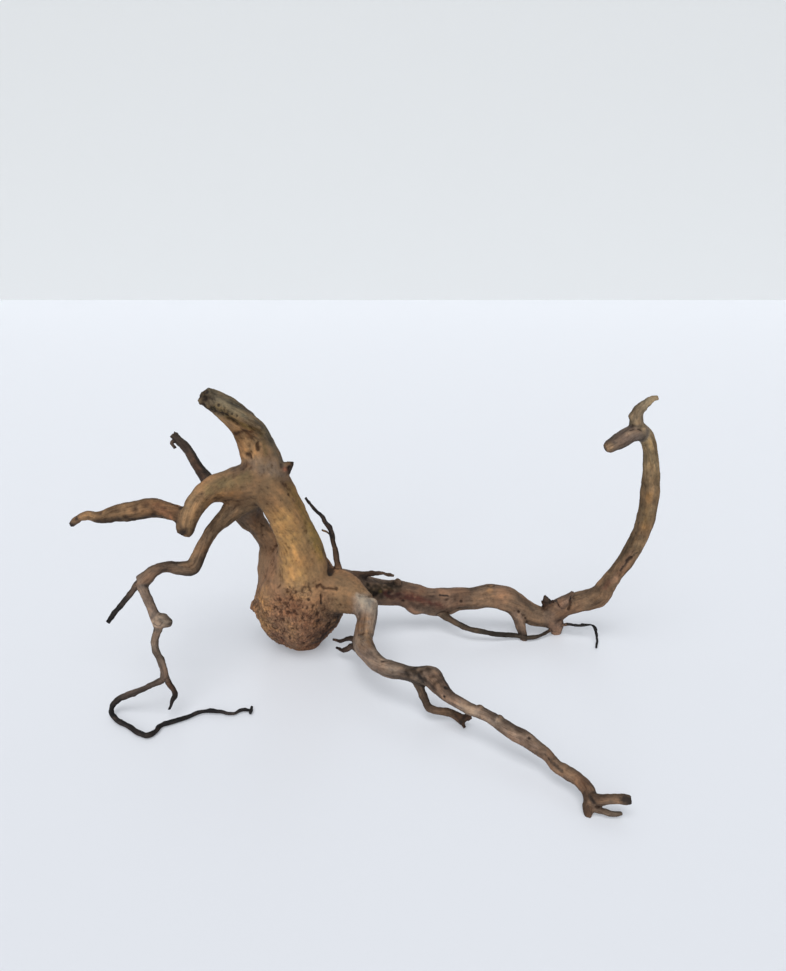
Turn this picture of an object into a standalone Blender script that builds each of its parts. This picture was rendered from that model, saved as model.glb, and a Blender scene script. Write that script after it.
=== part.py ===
"""A dry root, peeled and weathered: a rough burl that carries a forked trunk, with crooked limbs to the left
and two long roots to the right. It grew as one piece of wood, so it is one solid.

Metres, +Z up, +X to the right, +Y away from the front. The origin is the middle of the flat that the burl
rests on. Every limb is a list of stations along its heart, each (x, y, z, radius) in millimetres."""

import math

import bmesh
import bpy
from mathutils import Vector, noise

MM = 0.001

# Driving sizes, in millimetres.
FUSE_GRAIN = 2.0          # size of the cells that the thick limbs grow together in
FILLET_PASSES = 5         # smoothing passes, which round the crotches between limbs
BROAD_PASSES = 70         # more passes where limbs flow together broadly
THICK_TRIANGLES = 8200    # what the fused body is brought down to
FLUTE_DEPTH = 0.045       # depth of the flutes along a limb, as a share of its radius
FLUTE_COUNT = 5
FLUTE_CORNERS = 20        # corners of the fluted outline that is swept along a limb
OVAL = 1.3                # how much deeper the limb is flattened to an oval than it is fluted
OVAL_TURN = 0.7           # which way round the oval lies, in radians
TWIST_PER_STATION = 0.16  # how far the flutes wind round a limb from one station to the next, in radians
LIMB_STEPS = 3            # rings of a thick limb from one station to the next
ROOTLET_STEPS = 2         # rings of a thin rootlet from one station to the next
WELD = 0.01               # points closer than this are one
CRUMB_HEIGHT = 1.7        # how far the burl's crumbly lumps stand out
CRUMB_SIZE = 11.0         # spacing of those lumps
GNARL_HEIGHT = 0.8        # unevenness of the smooth wood
GNARL_SIZE = 17.0
CRUMB_ROUGHNESS = 0.9     # how fast the lumps' finer detail dies away
CRUMB_LACUNARITY = 2.1    # how much finer each layer of lumps is than the last
CRUMB_LAYERS = 2
WEAR_DEPTH = 12.0         # thickness of the block that wears the bearing points flat at the ground
WEAR_MARGIN = 100.0       # how far that block reaches past the wood on each side

# The burl, and the hollow-necked swelling under the trunk. It stands on the flat at its foot.
BURL = (
    (3, 0, -5, 10), (2, 0, 0, 17.5), (1, 1, 6, 24), (-1, 1, 14, 30.5), (-3, 1, 25, 36), (-4, 1, 37, 39),
    (-4, 1, 50, 40), (-4, 2, 64, 37.5), (-4, 3, 77, 32), (-4, 2, 90, 25), (-4, -2, 104, 17), (-6, -5, 118, 11),
)
BURL_LIP = ((13, -5, 13, 9), (20, -3, 21, 11), (26, -2, 33, 12), (30, 0, 46, 13))
BURL_CHEEK = ((-24, -6, 24, 9), (-36, -5, 38, 11), (-37, -2, 52, 9), (-30, 2, 66, 6))

# The trunk leans left out of the burl, up to the fork.
TRUNK = (
    (3, 0, 40, 12), (2, -4, 54, 24), (1, -6, 72, 26), (2, -6, 92, 23), (-1, -8, 115, 19), (-9, -10, 138, 17.3),
    (-18, -10, 158, 18.5), (-27, -9, 172, 19.5), (-34, -8, 186, 15),
)
# The thick horn goes on up from the fork and curls over to its broken end, with a rim along its front.
HORN = (
    (-22, -8, 160, 13), (-28, -8, 174, 20), (-29.5, -8, 192, 17.8), (-33.5, -9, 208, 14.6), (-38, -11, 220, 12.6),
    (-44.5, -14, 230, 10.9), (-52, -17, 239, 9.8), (-63, -21, 247.5, 8.8), (-72, -23, 254, 7.3),
    (-75, -24, 257, 6.3),
)
HORN_RIM = (
    (-22, -10, 203, 9), (-26, -16, 215, 8), (-36, -22, 228, 7.5), (-48, -25, 239, 6.5), (-60, -26, 246, 6),
    (-70, -26, 251, 5),
)
HORN_SKIRT = (
    (-36, -8, 184, 10), (-40, -11, 200, 10), (-43, -15, 215, 9.2), (-50, -20, 228, 7.2), (-61, -23, 240, 5.8),
    (-71, -25, 248, 4.5), (-76, -26, 253, 3),
)
FORK_STUB = ((-16, -11, 178, 11), (-8, -14, 184, 8), (-5, -15, 187, 6), (-2, -16, 189, 4.6))

# The upper arm arches left from the fork, drops to a knee and turns back up into a long pale tip.
ARM = (
    (-14, -6, 166, 9), (-30, -9, 170, 18), (-46, -11, 170, 19), (-60, -15, 169, 16), (-72, -22, 169, 12.8),
    (-81, -29, 165, 10.5), (-88, -36, 157, 9), (-93, -41, 147, 8.5),
    (-95, -42, 139, 8), (-97, -42, 133, 6.5),
)
ARM_TIP = (
    (-93, -39, 144, 8), (-102, -37, 150, 8), (-114, -36, 154, 8), (-128, -36, 156, 9), (-141, -38, 154, 9),
    (-155, -38, 152, 7.5), (-172, -36, 147, 5.5), (-186, -33, 147, 4), (-197, -30, 141, 3.2),
    (-203, -28, 136, 2.6),
)
ARM_WEB = ((-44, -12, 160, 13), (-54, -17, 159, 9), (-60, -20, 158, 5))
# The lower arm starts under the fork and bends twice on its way to the knuckle.
LOWER_ARM = (
    (-30, -4, 164, 10), (-44, -7, 157, 14.5), (-55, -13, 149, 11.3), (-64, -22, 142, 8.2), (-74, -36, 134, 6.5),
    (-79, -46, 126, 5.8), (-83, -56, 118, 6.2), (-87, -64, 111, 6.8), (-95, -70, 113, 5.8),
    (-106, -76, 117, 4.6), (-114, -82, 116, 5), (-121, -86, 111, 5.8), (-126, -88, 108, 5.8),
)
DROP = (
    (-125, -88, 109, 4.8), (-123, -90, 104, 4.4), (-117, -95, 94, 4), (-113, -99, 85, 4.4),
    (-110, -101, 78, 4.2), (-110, -102, 71, 3.6), (-113, -105, 60, 3.4), (-109, -110, 51, 3.4),
    (-105, -113, 42, 3.2), (-104, -115, 32, 3.2),
)
DROP_KNOB = ((-112, -101, 78, 5), (-106, -102, 79.5, 6.4), (-100, -103, 79, 4.6), (-97, -103, 78.5, 3))
# A second stem rises behind the trunk from the burl to the fork, with a slit of daylight between them.
STRUT = (
    (-14, 4, 44, 12), (-25, 8, 63, 18), (-29.5, 12, 78, 15.5), (-31, 19, 94, 12), (-41, 26, 109.5, 10.2),
    (-49.5, 22, 124.5, 12.6), (-51, 12, 141, 15), (-46, -4, 156, 15),
)
BACK_ARM = (
    (-66, -6, 162, 10), (-78, 2, 162, 8), (-89, 14, 169, 6), (-98, 22, 178, 5.2), (-105, 30, 186, 5),
    (-112, 38, 192, 4.8), (-118, 42, 196, 4.4), (-124, 46, 201, 3.8),
)

# A root base swells out of the burl's right side and ends in a pale scar, where the front root turns down.
BASE = (
    (-4, 2, 56, 16), (10, -1, 58, 24), (24, -5, 59, 23), (36, -9, 60, 20.5), (46, -14, 59, 18),
    (55, -20, 56.5, 14), (63, -25, 54, 11.5),
)
RIGHT_ROOT = (
    (22, 4, 60, 11), (36, 12, 56, 16.5), (50, 18, 50, 15.5), (64, 24, 44, 14), (82, 28, 40, 12.5), (95, 30, 39, 12),
    (109, 31, 34, 12.5), (126, 32, 29, 13), (140, 32, 29, 13.5), (154, 30, 33, 11.2), (169, 28, 34, 10.4),
    (185, 27, 37, 12), (200, 26, 35, 12.6), (210, 25, 30, 12), (219, 24, 24, 11.4), (230, 23, 18, 11.2),
    (242, 22, 17, 11.2), (252, 22, 23, 11.2), (262, 21, 30, 10.4), (273, 20, 34, 10.5), (285, 19, 38, 10.4),
    (293, 18, 43, 10.4), (299, 18, 53, 8.8), (305, 17, 64, 7.6),
)
# Past its elbow the right root climbs as a slim neck and bends over into a blunt head with a crest.
NECK = (
    (299, 18, 53, 8.8), (305, 17, 64, 7.6), (311, 16, 74, 7.6), (317, 16, 84, 7.9), (326, 16, 105, 8),
    (331, 16, 126, 8.2), (332, 17, 147, 8.2), (332, 18, 166, 7.9), (330, 18, 180, 6.9), (327, 18, 196, 6.4),
    (322, 17, 207, 6.8), (314, 14, 213, 7.8),
)
HEAD = (
    (317, 15, 211, 7.8), (305, 10, 210, 8), (296, 6, 206, 8), (289, 3, 203, 6.8), (284, 1.5, 201, 6),
    (281, 0.5, 199.7, 3.8),
)
CREST = (
    (314, 15, 211, 6.5), (311, 14, 224, 6), (312, 13, 232, 5.2), (317, 12, 238, 4.4),
    (322, 11, 243, 3.4), (328, 10, 245, 2.4),
)
KNEE = ((246, 21, 18, 11), (251, 20, 11, 9.3), (253, 19, 4, 6.8), (253, 19, -2, 5))
FOOT = ((210, 23, 28, 8.5), (214, 16, 18, 5.8), (216, 10, 10, 4.8), (218, 6, 3, 4), (219, 5, -2, 3.5))
SPIKE = ((246, 22, 25, 8), (243, 23, 32, 5.2), (241, 24, 37, 2.8), (240, 24, 40, 1.6))
FLAP = ((256, 17, 34, 6.5), (262, 14, 43, 4), (266, 13, 49, 2.4))
NUB_A = ((92, 28, 48, 5), (94, 28, 54, 2.2))
NUB_B = ((106, 28, 30, 8), (110, 27, 25, 7.6), (118, 28, 25, 7))
NUB_C = ((185, 26, 45, 5), (187, 26, 50, 2.2))
SPUR = ((44, 12, 63, 9), (56, 17, 65, 4.6), (67, 22, 64.5, 2.7), (77, 24, 64, 2.1), (84, 24, 63, 1.6))

# The front root turns down under the scar, then runs forward just clear of the ground to a claw.
FRONT_ROOT = (
    (62, -28, 54.5, 11.8), (64, -42, 50.5, 9.4), (62, -54, 43, 8.6), (61, -63, 37, 9), (67, -77, 33, 7.9),
    (75, -88, 30, 7.4), (85, -97, 30, 7.4), (96, -103, 31, 6.5), (106, -109, 32, 7), (121, -116, 33.6, 9.4),
    (125, -123, 32, 8), (132, -132, 28, 6), (141, -140, 26, 5.4), (150, -148, 25, 5), (164, -157, 24, 5.1),
    (173, -165, 22, 5.6), (181, -173, 21, 6), (190, -180, 20, 5.9),
    (197, -186, 18, 5.4), (204, -193, 16, 4.9),
    (209, -203, 14, 4.7), (218, -212, 13, 4.8), (225, -221, 12, 4.8),
    (228, -229, 11, 5.2), (228, -235, 9, 5.2),
)
FRONT_NUB_A = ((157, -152, 25, 5), (158, -150, 30, 1.8))
FRONT_NUB_B = ((172, -164, 23, 5), (173, -161, 28.5, 1.6))
HEEL = ((228, -234, 9, 5), (226, -238, 5, 3.8), (226, -240, -1, 3))
TOE_UPPER = ((227, -234, 10, 4.6), (235, -238, 11.8, 3.8), (242, -238, 12.8, 3.6), (248, -239, 13.4, 3.5),
             (253, -240, 13.4, 3))
TOE_LOWER = ((227, -236, 6, 3.6), (232, -239, 4.4, 2.6), (238, -241, 3.6, 2.2), (244, -242, 3, 1.9),
             (250, -241, 2.6, 1.5))
SIDE_ROOT = (
    (108, -108, 29, 5.2), (112, -114, 20, 3.7), (115.5, -121, 14, 3.3), (119, -127, 11, 3.4), (127, -128, 9, 3.3),
    (136, -129, 8, 3.4), (144, -134, 6, 4.2), (147, -137, 4, 4),
)
SIDE_PRONG = ((144, -134, 6, 3.6), (149, -136, 8, 3), (153, -136, 9, 2.2))

# Rootlets too slim to grow together with the rest. Each starts inside the limb that carries it.
TWIG_LEFT = (
    (-122, -87, 110, 3.6), (-126, -88, 108, 3.3), (-132, -92, 101, 2.7), (-139, -98, 93, 2.4),
    (-146, -103, 85, 2.2), (-150, -105, 80, 2),
)
TWIG_DOWN = ((-104, -114, 35, 2.6), (-101, -115, 27, 2.3), (-96, -118, 20, 2.2), (-98, -121, 14, 1.9),
             (-100, -125, 8, 1.1))
LOOP = (
    (-105, -114, 36, 2.7), (-106, -115, 31, 2.7), (-114, -116, 27, 2.5),
    (-123, -115, 22, 2.6), (-135, -114, 16, 3),
    (-146, -115, 11, 2.7), (-150, -118, 7, 2.4), (-149, -124, 4.5, 2.3), (-142, -132, 3.2, 2.3),
    (-130, -140, 2.8, 2.2), (-117, -150, 2.6, 2.2), (-110, -152, 2.6, 2.2), (-106, -147, 2.6, 2.1),
    (-104, -139, 2.6, 2.1), (-98, -135, 2.6, 2.2), (-87, -129, 2.4, 1.8), (-74, -120, 2.8, 1.7),
    (-58, -120, 2.8, 1.7), (-47, -122, 2.4, 1.5), (-41, -117, 2.4, 1.5), (-33, -117, 2.4, 1.6),
)
LOOP_BREAK = ((-33, -121, 2.3, 1.4), (-33, -117, 2.5, 1.7), (-33, -113, 2.6, 1.3))
SPRIG_UPPER = (
    (60, -58, 34, 5), (54, -50, 31, 3.8), (48, -37, 26, 2.5), (39, -32, 20, 1.9), (31, -26, 18, 1.2),
)
SPRIG_LOWER = (
    (60, -62, 31, 5), (54, -50, 24, 3.8), (48, -36, 16, 2.9), (41, -32, 10, 2.3), (34, -24, 8, 1.5),
)
RUNNER = (
    (128, 30, 24, 5), (138, 24, 18.5, 4.4), (146, 17, 16, 3.4), (158, 9, 12.5, 2.8), (174, 4, 10, 2.7),
    (194, 4, 6.5, 2.7), (209, 6, 4.5, 2.6),
    (224, 3, 3.4, 2.3), (240, 10, 4.5, 1.8), (249, 15, 7, 1.6), (258, 15, 11, 1.5), (264, 13, 13, 1.4),
    (271, 12, 12, 1.4), (281, 10, 14, 1.3), (287, 8, 14, 1.3), (289, 3, 10, 1.2), (289, -3, 6, 1.2),
    (286, -13, 1.6, 1.0),
)
WHIP = (
    (38, 2, 66, 6), (36, 2, 76, 4.4), (34, 2, 87, 3.4),
    (33, 3, 97, 2.9), (31, 4, 107, 2.6), (29, 4, 118, 2.4),
    (25, 3, 126, 2.2), (22, 2, 132, 1.9), (14, 0, 142, 1.5), (7, -2, 153, 1.1),
)
WHIP_SIDE = ((31, 4, 110, 1.7), (27, 2, 116, 1.1), (21, 0, 120, 0.8))
SPUR_TWIG = ((79, 24, 63.5, 1.9), (85, 24, 62, 1.6), (89, 24, 61, 1.1))
BACK_HOOK = ((-117, 42, 196, 2.6), (-124, 40, 194, 2), (-121, 38, 189, 1.6))
SIDE_TAIL = ((145, -135, 6, 3), (146, -139, 3.4, 1.9), (147, -141, 2, 1.4))

# Where the burl crumbles, and how its roughness dies away up the trunk.
BURL_HEART = (-2, 0, 32)
BURL_SMOOTH = 26.0
BURL_EDGE = 44.0

# Where limbs flow together broadly, and edges there that stay crisp: x, y, z, reach.
BROAD_FLOWS = (
    (-30, -8, 172, 56), (0, -4, 84, 48), (40, -8, 60, 42), (-44, 8, 144, 30), (-30, 8, 82, 34),
)
CRISP_PLACES = ((-1, -16, 190, 20),)

# Lumps (height above nothing) and hollows (below it): x, y, z, reach, height.
MARKS = (
    (-42, -30, 211, 14, -3.0), (-33, -30, 198, 12, -1.5), (-27, -33, 212, 8, 1.5),
    (-20, -30, 176, 14, 1.6), (-48, -28, 172, 16, 1.5), (-2, -26, 176, 9, -1.5), (3, -24, 148, 13, 1.6),
    (22, -24, 96, 12, 2.4), (30, -16, 76, 9, -3.5), (-22, -20, 96, 14, -2.0), (-44, 10, 62, 13, 3.5),
    (-46, -8, 34, 12, 3.5), (-38, -22, 58, 11, -2.5), (-30, -34, 30, 13, 3.0), (4, -44, 26, 13, 2.5),
    (22, -36, 22, 10, -3.0), (34, -20, 30, 12, 3.5), (-6, -44, 50, 12, -2.0), (36, -28, 58, 12, 2.0),
    (78, 22, 34, 10, -2.0), (97, 20, 46, 10, 2.4), (128, 22, 30, 12, 2.4), (160, 20, 34, 10, -2.0),
    (202, 16, 36, 11, 2.6), (222, 14, 28, 9, -2.2), (246, 12, 14, 9, 2.4), (272, 12, 40, 9, 2.0),
    (320, 10, 92, 8, -1.6), (326, 9, 118, 8, 1.6), (334, 12, 160, 9, 1.6), (322, 20, 76, 7, 1.6),
    (66, -66, 38, 8, 1.8), (92, -92, 34, 7, -1.5), (122, -118, 38, 8, 1.6), (178, -172, 25, 7, 1.4),
)

THICK_LIMBS = {
    "burl": BURL, "burl_lip": BURL_LIP, "burl_cheek": BURL_CHEEK, "trunk": TRUNK, "horn": HORN,
    "horn_rim": HORN_RIM, "horn_skirt": HORN_SKIRT, "fork_stub": FORK_STUB, "arm": ARM, "arm_tip": ARM_TIP,
    "arm_web": ARM_WEB, "lower_arm": LOWER_ARM, "drop": DROP, "drop_knob": DROP_KNOB, "strut": STRUT,
    "back_arm": BACK_ARM, "base": BASE, "right_root": RIGHT_ROOT, "neck": NECK, "head": HEAD, "crest": CREST,
    "knee": KNEE, "foot": FOOT, "spike": SPIKE, "flap": FLAP, "nub_a": NUB_A, "nub_b": NUB_B, "nub_c": NUB_C,
    "spur": SPUR, "front_root": FRONT_ROOT, "front_nub_a": FRONT_NUB_A, "front_nub_b": FRONT_NUB_B,
    "heel": HEEL, "toe_upper": TOE_UPPER, "toe_lower": TOE_LOWER,
    "side_root": SIDE_ROOT, "side_prong": SIDE_PRONG,
}
THIN_LIMBS = {
    "twig_left": TWIG_LEFT, "twig_down": TWIG_DOWN, "loop": LOOP, "loop_break": LOOP_BREAK,
    "sprig_upper": SPRIG_UPPER, "sprig_lower": SPRIG_LOWER, "runner": RUNNER, "whip": WHIP,
    "whip_side": WHIP_SIDE, "spur_twig": SPUR_TWIG, "back_hook": BACK_HOOK, "side_tail": SIDE_TAIL,
}


def clear_scene():
    for obj in list(bpy.data.objects):
        bpy.data.objects.remove(obj)


def collection(name):
    made = bpy.data.collections.new(name)
    bpy.context.scene.collection.children.link(made)
    return made


def fluted_section():
    """A closed outline of mean radius one with shallow flutes, to be swept along the limbs."""
    curve = bpy.data.curves.new("fluted section", "CURVE")
    curve.dimensions = "2D"
    spline = curve.splines.new("POLY")
    spline.points.add(FLUTE_CORNERS - 1)
    for i, point in enumerate(spline.points):
        angle = math.tau * i / FLUTE_CORNERS
        wave = math.cos(FLUTE_COUNT * angle) + OVAL * math.cos(2 * angle + OVAL_TURN)
        reach = MM * (1 + FLUTE_DEPTH * wave)
        point.co = (reach * math.cos(angle), reach * math.sin(angle), 0, 1)
    spline.use_cyclic_u = True
    return bpy.data.objects.new("fluted section", curve)


def tube(name, stations, steps, section=None):
    """A closed mesh tube through the stations, six-sided unless it is given a section to sweep. Its radius
    follows the stations as smoothly as its line does."""
    curve = bpy.data.curves.new(name, "CURVE")
    curve.dimensions = "3D"
    curve.resolution_u = steps
    if section:
        curve.bevel_mode = "OBJECT"
        curve.bevel_object = section
    else:
        curve.bevel_depth = MM
        curve.bevel_resolution = 1
    curve.use_fill_caps = True
    spline = curve.splines.new("BEZIER")
    spline.radius_interpolation = "CARDINAL"
    spline.bezier_points.add(len(stations) - 1)
    for i, (point, (x, y, z, radius)) in enumerate(zip(spline.bezier_points, stations)):
        point.co = Vector((x, y, z)) * MM
        point.radius = radius
        point.tilt = TWIST_PER_STATION * i
        point.handle_left_type = point.handle_right_type = "AUTO"
    obj = bpy.data.objects.new(name, curve)
    bpy.context.scene.collection.objects.link(obj)
    bpy.context.view_layer.update()
    mesh = bpy.data.meshes.new_from_object(obj.evaluated_get(bpy.context.evaluated_depsgraph_get()))
    bpy.data.objects.remove(obj)
    shell = bmesh.new()
    shell.from_mesh(mesh)
    bmesh.ops.remove_doubles(shell, verts=shell.verts, dist=WELD * MM)
    bmesh.ops.recalc_face_normals(shell, faces=shell.faces)
    shell.to_mesh(mesh)
    shell.free()
    return mesh


def settled(obj):
    """The object's mesh with its modifiers worked in."""
    bpy.context.scene.collection.objects.link(obj)
    bpy.context.view_layer.update()
    mesh = bpy.data.meshes.new_from_object(obj.evaluated_get(bpy.context.evaluated_depsgraph_get()))
    bpy.data.objects.remove(obj)
    return mesh


def fade(distance, reach):
    """One at the heart of a mark, nothing at its reach, and level at both."""
    t = max(0.0, 1.0 - distance / reach)
    return t * t * (3 - 2 * t)


def fuse(meshes):
    """One skin round overlapping closed meshes, grown together in cells of FUSE_GRAIN and smoothed."""
    body = bmesh.new()
    for mesh in meshes:
        body.from_mesh(mesh)
    joined = bpy.data.meshes.new("root")
    body.to_mesh(joined)
    body.free()
    obj = bpy.data.objects.new("root", joined)
    remesh = obj.modifiers.new("Grow together", "REMESH")
    remesh.mode = "VOXEL"
    remesh.voxel_size = FUSE_GRAIN * MM
    obj = bpy.data.objects.new("root", settled(obj))
    broad = obj.vertex_groups.new(name="broad")
    for vertex in obj.data.vertices:
        place = vertex.co / MM
        flow = max(fade((place - Vector((x, y, z))).length, reach) for x, y, z, reach in BROAD_FLOWS)
        crisp = max(fade((place - Vector((x, y, z))).length, reach) for x, y, z, reach in CRISP_PLACES)
        if flow > crisp:
            broad.add([vertex.index], flow - crisp, "REPLACE")
    for name, passes, group in (("Fillet", FILLET_PASSES, ""), ("Broad fillet", BROAD_PASSES, broad.name)):
        smooth = obj.modifiers.new(name, "SMOOTH")
        smooth.factor = 0.5
        smooth.iterations = passes
        smooth.vertex_group = group
    return settled(obj)


def weather(mesh):
    """Raises lumps, sinks hollows and crumbles the burl, each along the surface's own normal."""
    moved = []
    for vertex in mesh.vertices:
        place = vertex.co / MM
        lift = GNARL_HEIGHT * noise.noise(place / GNARL_SIZE)
        from_burl = (place - Vector(BURL_HEART)).length
        crumb = fade(max(0.0, from_burl - BURL_SMOOTH), BURL_EDGE)
        lumps = noise.fractal(place / CRUMB_SIZE, CRUMB_ROUGHNESS, CRUMB_LACUNARITY, CRUMB_LAYERS)
        lift += crumb * CRUMB_HEIGHT * lumps
        for x, y, z, reach, height in MARKS:
            near = (place - Vector((x, y, z))).length
            if near < reach:
                lift += height * fade(near, reach)
        moved.append(vertex.co + vertex.normal * lift * MM)
    for vertex, place in zip(mesh.vertices, moved):
        vertex.co = place


clear_scene()
wood = collection("dry_root")
guides = collection("guides")
section = fluted_section()
body = fuse([tube(name, stations, LIMB_STEPS, section) for name, stations in THICK_LIMBS.items()])
weather(body)
bpy.data.objects.remove(section)

root = bpy.data.objects.new("root", body)
wood.objects.link(root)
thin = root.modifiers.new("Coarsen", "DECIMATE")
thin.ratio = THICK_TRIANGLES / sum(len(face.vertices) - 2 for face in body.polygons)

for name, stations in THIN_LIMBS.items():
    rootlet = bpy.data.objects.new(name, tube(name, stations, ROOTLET_STEPS))
    guides.objects.link(rootlet)
    join = root.modifiers.new("Join " + name, "BOOLEAN")
    join.operation = "UNION"
    join.solver = "EXACT"
    join.object = rootlet

xs = [vertex.co.x for vertex in body.vertices]
ys = [vertex.co.y for vertex in body.vertices]
block = bmesh.new()
bmesh.ops.create_cube(block, size=1)
margin = 2 * WEAR_MARGIN * MM
span = Vector((max(xs) - min(xs) + margin, max(ys) - min(ys) + margin, WEAR_DEPTH * MM))
middle = Vector((max(xs) + min(xs), max(ys) + min(ys), -WEAR_DEPTH * MM)) / 2
bmesh.ops.scale(block, verts=block.verts, vec=span)
bmesh.ops.translate(block, verts=block.verts, vec=middle)
ground_mesh = bpy.data.meshes.new("ground block")
block.to_mesh(ground_mesh)
block.free()
ground = bpy.data.objects.new("ground block", ground_mesh)
guides.objects.link(ground)
wear = root.modifiers.new("Wear flat", "BOOLEAN")
wear.operation = "DIFFERENCE"
wear.solver = "EXACT"
wear.object = ground

for guide in guides.objects:
    guide.hide_render = True
    guide.display_type = "WIRE"

peeled = bpy.data.materials.new("peeled wood")
peeled.use_nodes = True
shader = peeled.node_tree.nodes["Principled BSDF"]
shader.inputs["Base Color"].default_value = (0.24, 0.135, 0.062, 1)
shader.inputs["Roughness"].default_value = 0.72
root.data.materials.append(peeled)
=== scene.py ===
"""A dry, peeled root: a crumbly burl under a forked trunk, crooked arms to the left, two long roots to the
right. Every limb is a list of stations along its heart, each x, y, z and radius in millimetres."""
import math

import bmesh
import bpy
import numpy as np
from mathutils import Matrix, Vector


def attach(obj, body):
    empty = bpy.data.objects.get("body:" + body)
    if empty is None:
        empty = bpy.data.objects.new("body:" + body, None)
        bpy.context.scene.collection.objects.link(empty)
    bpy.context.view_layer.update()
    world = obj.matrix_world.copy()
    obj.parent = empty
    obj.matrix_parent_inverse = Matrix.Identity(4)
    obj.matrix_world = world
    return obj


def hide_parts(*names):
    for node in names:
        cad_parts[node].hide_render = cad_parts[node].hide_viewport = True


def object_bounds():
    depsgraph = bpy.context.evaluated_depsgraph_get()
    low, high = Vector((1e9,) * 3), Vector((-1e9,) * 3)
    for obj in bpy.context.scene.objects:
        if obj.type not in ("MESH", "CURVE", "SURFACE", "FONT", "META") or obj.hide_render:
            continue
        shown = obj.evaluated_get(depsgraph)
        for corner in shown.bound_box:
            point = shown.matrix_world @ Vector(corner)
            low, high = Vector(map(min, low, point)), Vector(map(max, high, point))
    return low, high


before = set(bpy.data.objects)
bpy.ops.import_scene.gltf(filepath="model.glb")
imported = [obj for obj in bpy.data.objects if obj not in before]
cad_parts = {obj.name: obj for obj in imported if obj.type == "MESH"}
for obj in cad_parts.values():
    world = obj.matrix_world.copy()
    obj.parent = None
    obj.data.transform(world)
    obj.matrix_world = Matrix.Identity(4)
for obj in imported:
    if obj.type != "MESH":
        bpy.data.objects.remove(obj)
solid_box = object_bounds()

# The burl is the swollen foot of the root, once packed with soil and stones. Its skin has rotted to reddish
# crumbs. A knob bulges from its left cheek, and its right edge hangs over as a ragged lip.
MM = 0.001
thick_limbs = []
rootlets = []
scars = []
broken_ends = []
SCREEN_CURVE = 2.2
LIGHT_GAIN = 0.8


def wood_colour(shown):
    """The colour of a patch of wood that shows on a screen, in this light, as these values of 0 to 255."""
    return LIGHT_GAIN * np.array([(channel / 255) ** SCREEN_CURVE for channel in shown])


def grow(stations, near, far=None, crumb=0.0, limbs=thick_limbs):
    """Keeps a limb with the colours of its near and far ends, and how crumbly its skin is."""
    limbs.append({"stations": np.array(stations, float), "near": wood_colour(near),
                  "far": wood_colour(far or near), "crumb": crumb})


def scar(places, reach, lift=0.0, stain=0.0, colour=None, cover=0.0):
    """Keeps a mark that follows a few places on the skin: a pit, crack, ridge, stain or bare patch. Lift is
    its height in millimetres, stain how dark it is, and cover how much of its own colour hides the wood."""
    places = np.atleast_2d(np.array(places, float))
    scars.append({"places": places, "reach": reach, "lift": lift, "stain": stain, "cover": cover,
                  "colour": wood_colour(colour) if colour else None})


def patch(places, reach, colour, cover):
    """Keeps a mark that is only a patch of another colour."""
    scar(places, reach, colour=colour, cover=cover)


def break_off(place, reach):
    """Keeps a place where the wood is broken, which leaves it as rough as the burl."""
    broken_ends.append({"places": np.array([place], float), "reach": reach})


BURL_BROWN = (151, 121, 95)
BURL_RED = (130, 102, 83)
grow((
    (3, 0, -5, 10), (2, 0, 0, 17.5), (1, 1, 6, 24), (-1, 1, 14, 30.5), (-3, 1, 25, 36), (-4, 1, 37, 39),
    (-4, 1, 50, 40), (-4, 2, 64, 37.5), (-4, 3, 77, 32), (-4, 2, 90, 25), (-4, -2, 104, 17),
    (-6, -5, 118, 11),
), BURL_RED, BURL_BROWN, crumb=1.0)
grow(((13, -5, 13, 9), (20, -3, 21, 11), (26, -2, 33, 12), (30, 0, 46, 13)), BURL_RED, crumb=1.0)
grow(((-24, -6, 24, 9), (-36, -5, 38, 11), (-37, -2, 52, 9), (-30, 2, 66, 6)), BURL_BROWN, crumb=0.9)

for place, reach, depth in (
    ((-6, -35, 52), 5, -1.0), ((4, -30, 15), 6, -2.0), ((18, -31, 40), 8, -1.8), ((-23, -28, 31), 6, -1.2),
    ((30, -22, 30), 8, -2.4), ((12, -36, 26), 4, -1.2), ((-33, 22, 40), 8, -2.0), ((4, 38, 34), 8, -2.2),
    ((22, 30, 58), 7, -1.6), ((-12, 34, 62), 6, -1.4), ((-20, 30, 20), 7, -1.8), ((30, 20, 24), 8, -2.0),
):
    scar(place, reach, lift=depth, stain=0.45)
break_off((-6, -31, 71), 11)
break_off((6, -31, 71), 12)
scar((10, -33, 64), 3, lift=-1.2, stain=0.7)
scar(((-44, -12, 44), (-46, -5, 42), (-43, 4, 44)), 6, lift=2.4, stain=0.3)
scar(((-45, -12, 37), (-46, -4, 35)), 4, lift=-1.8, stain=0.9)
for place, reach in (
    ((2, -34, 62), 5.4), ((-6, -33, 64), 4), ((-11, -33, 59), 4.6), ((7, -35, 57), 5.8), ((14, -34, 58), 4),
    ((-2, -36, 53), 5.2), ((4, -38, 47), 6), ((11, -37, 45), 5.6), ((-10, -35, 51), 4), ((18, -33, 49), 4.4),
    ((-17, -31, 63), 3.6), ((-21, -31, 54), 4), ((-9, -33, 24), 3.8), ((8, -33, 26), 4),
    ((-2, -37, 36), 3.6), ((15, -32, 33), 4.6), ((-15, -34, 43), 3.8),
):
    scar(place, reach, lift=-1.2, stain=0.38)
patch(((-8, -33, 64), (2, -35, 57), (12, -36, 50), (20, -32, 42)), 13, (96, 70, 56), 0.6)
patch(((30, -20, 40), (30, -18, 28), (20, -24, 20)), 18, (90, 71, 58), 0.75)
patch(((40, -10, 42), (36, -13, 32), (32, -17, 25), (25, -21, 19), (17, -22, 12)), 11, (62, 51, 45), 0.9)
patch(((-38, -20, 30), (-34, -22, 46), (-32, -22, 62)), 16, (166, 130, 92), 0.75)
patch(((-47, -11, 47), (-46, -9, 39)), 8, (92, 70, 52), 0.75)
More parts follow.
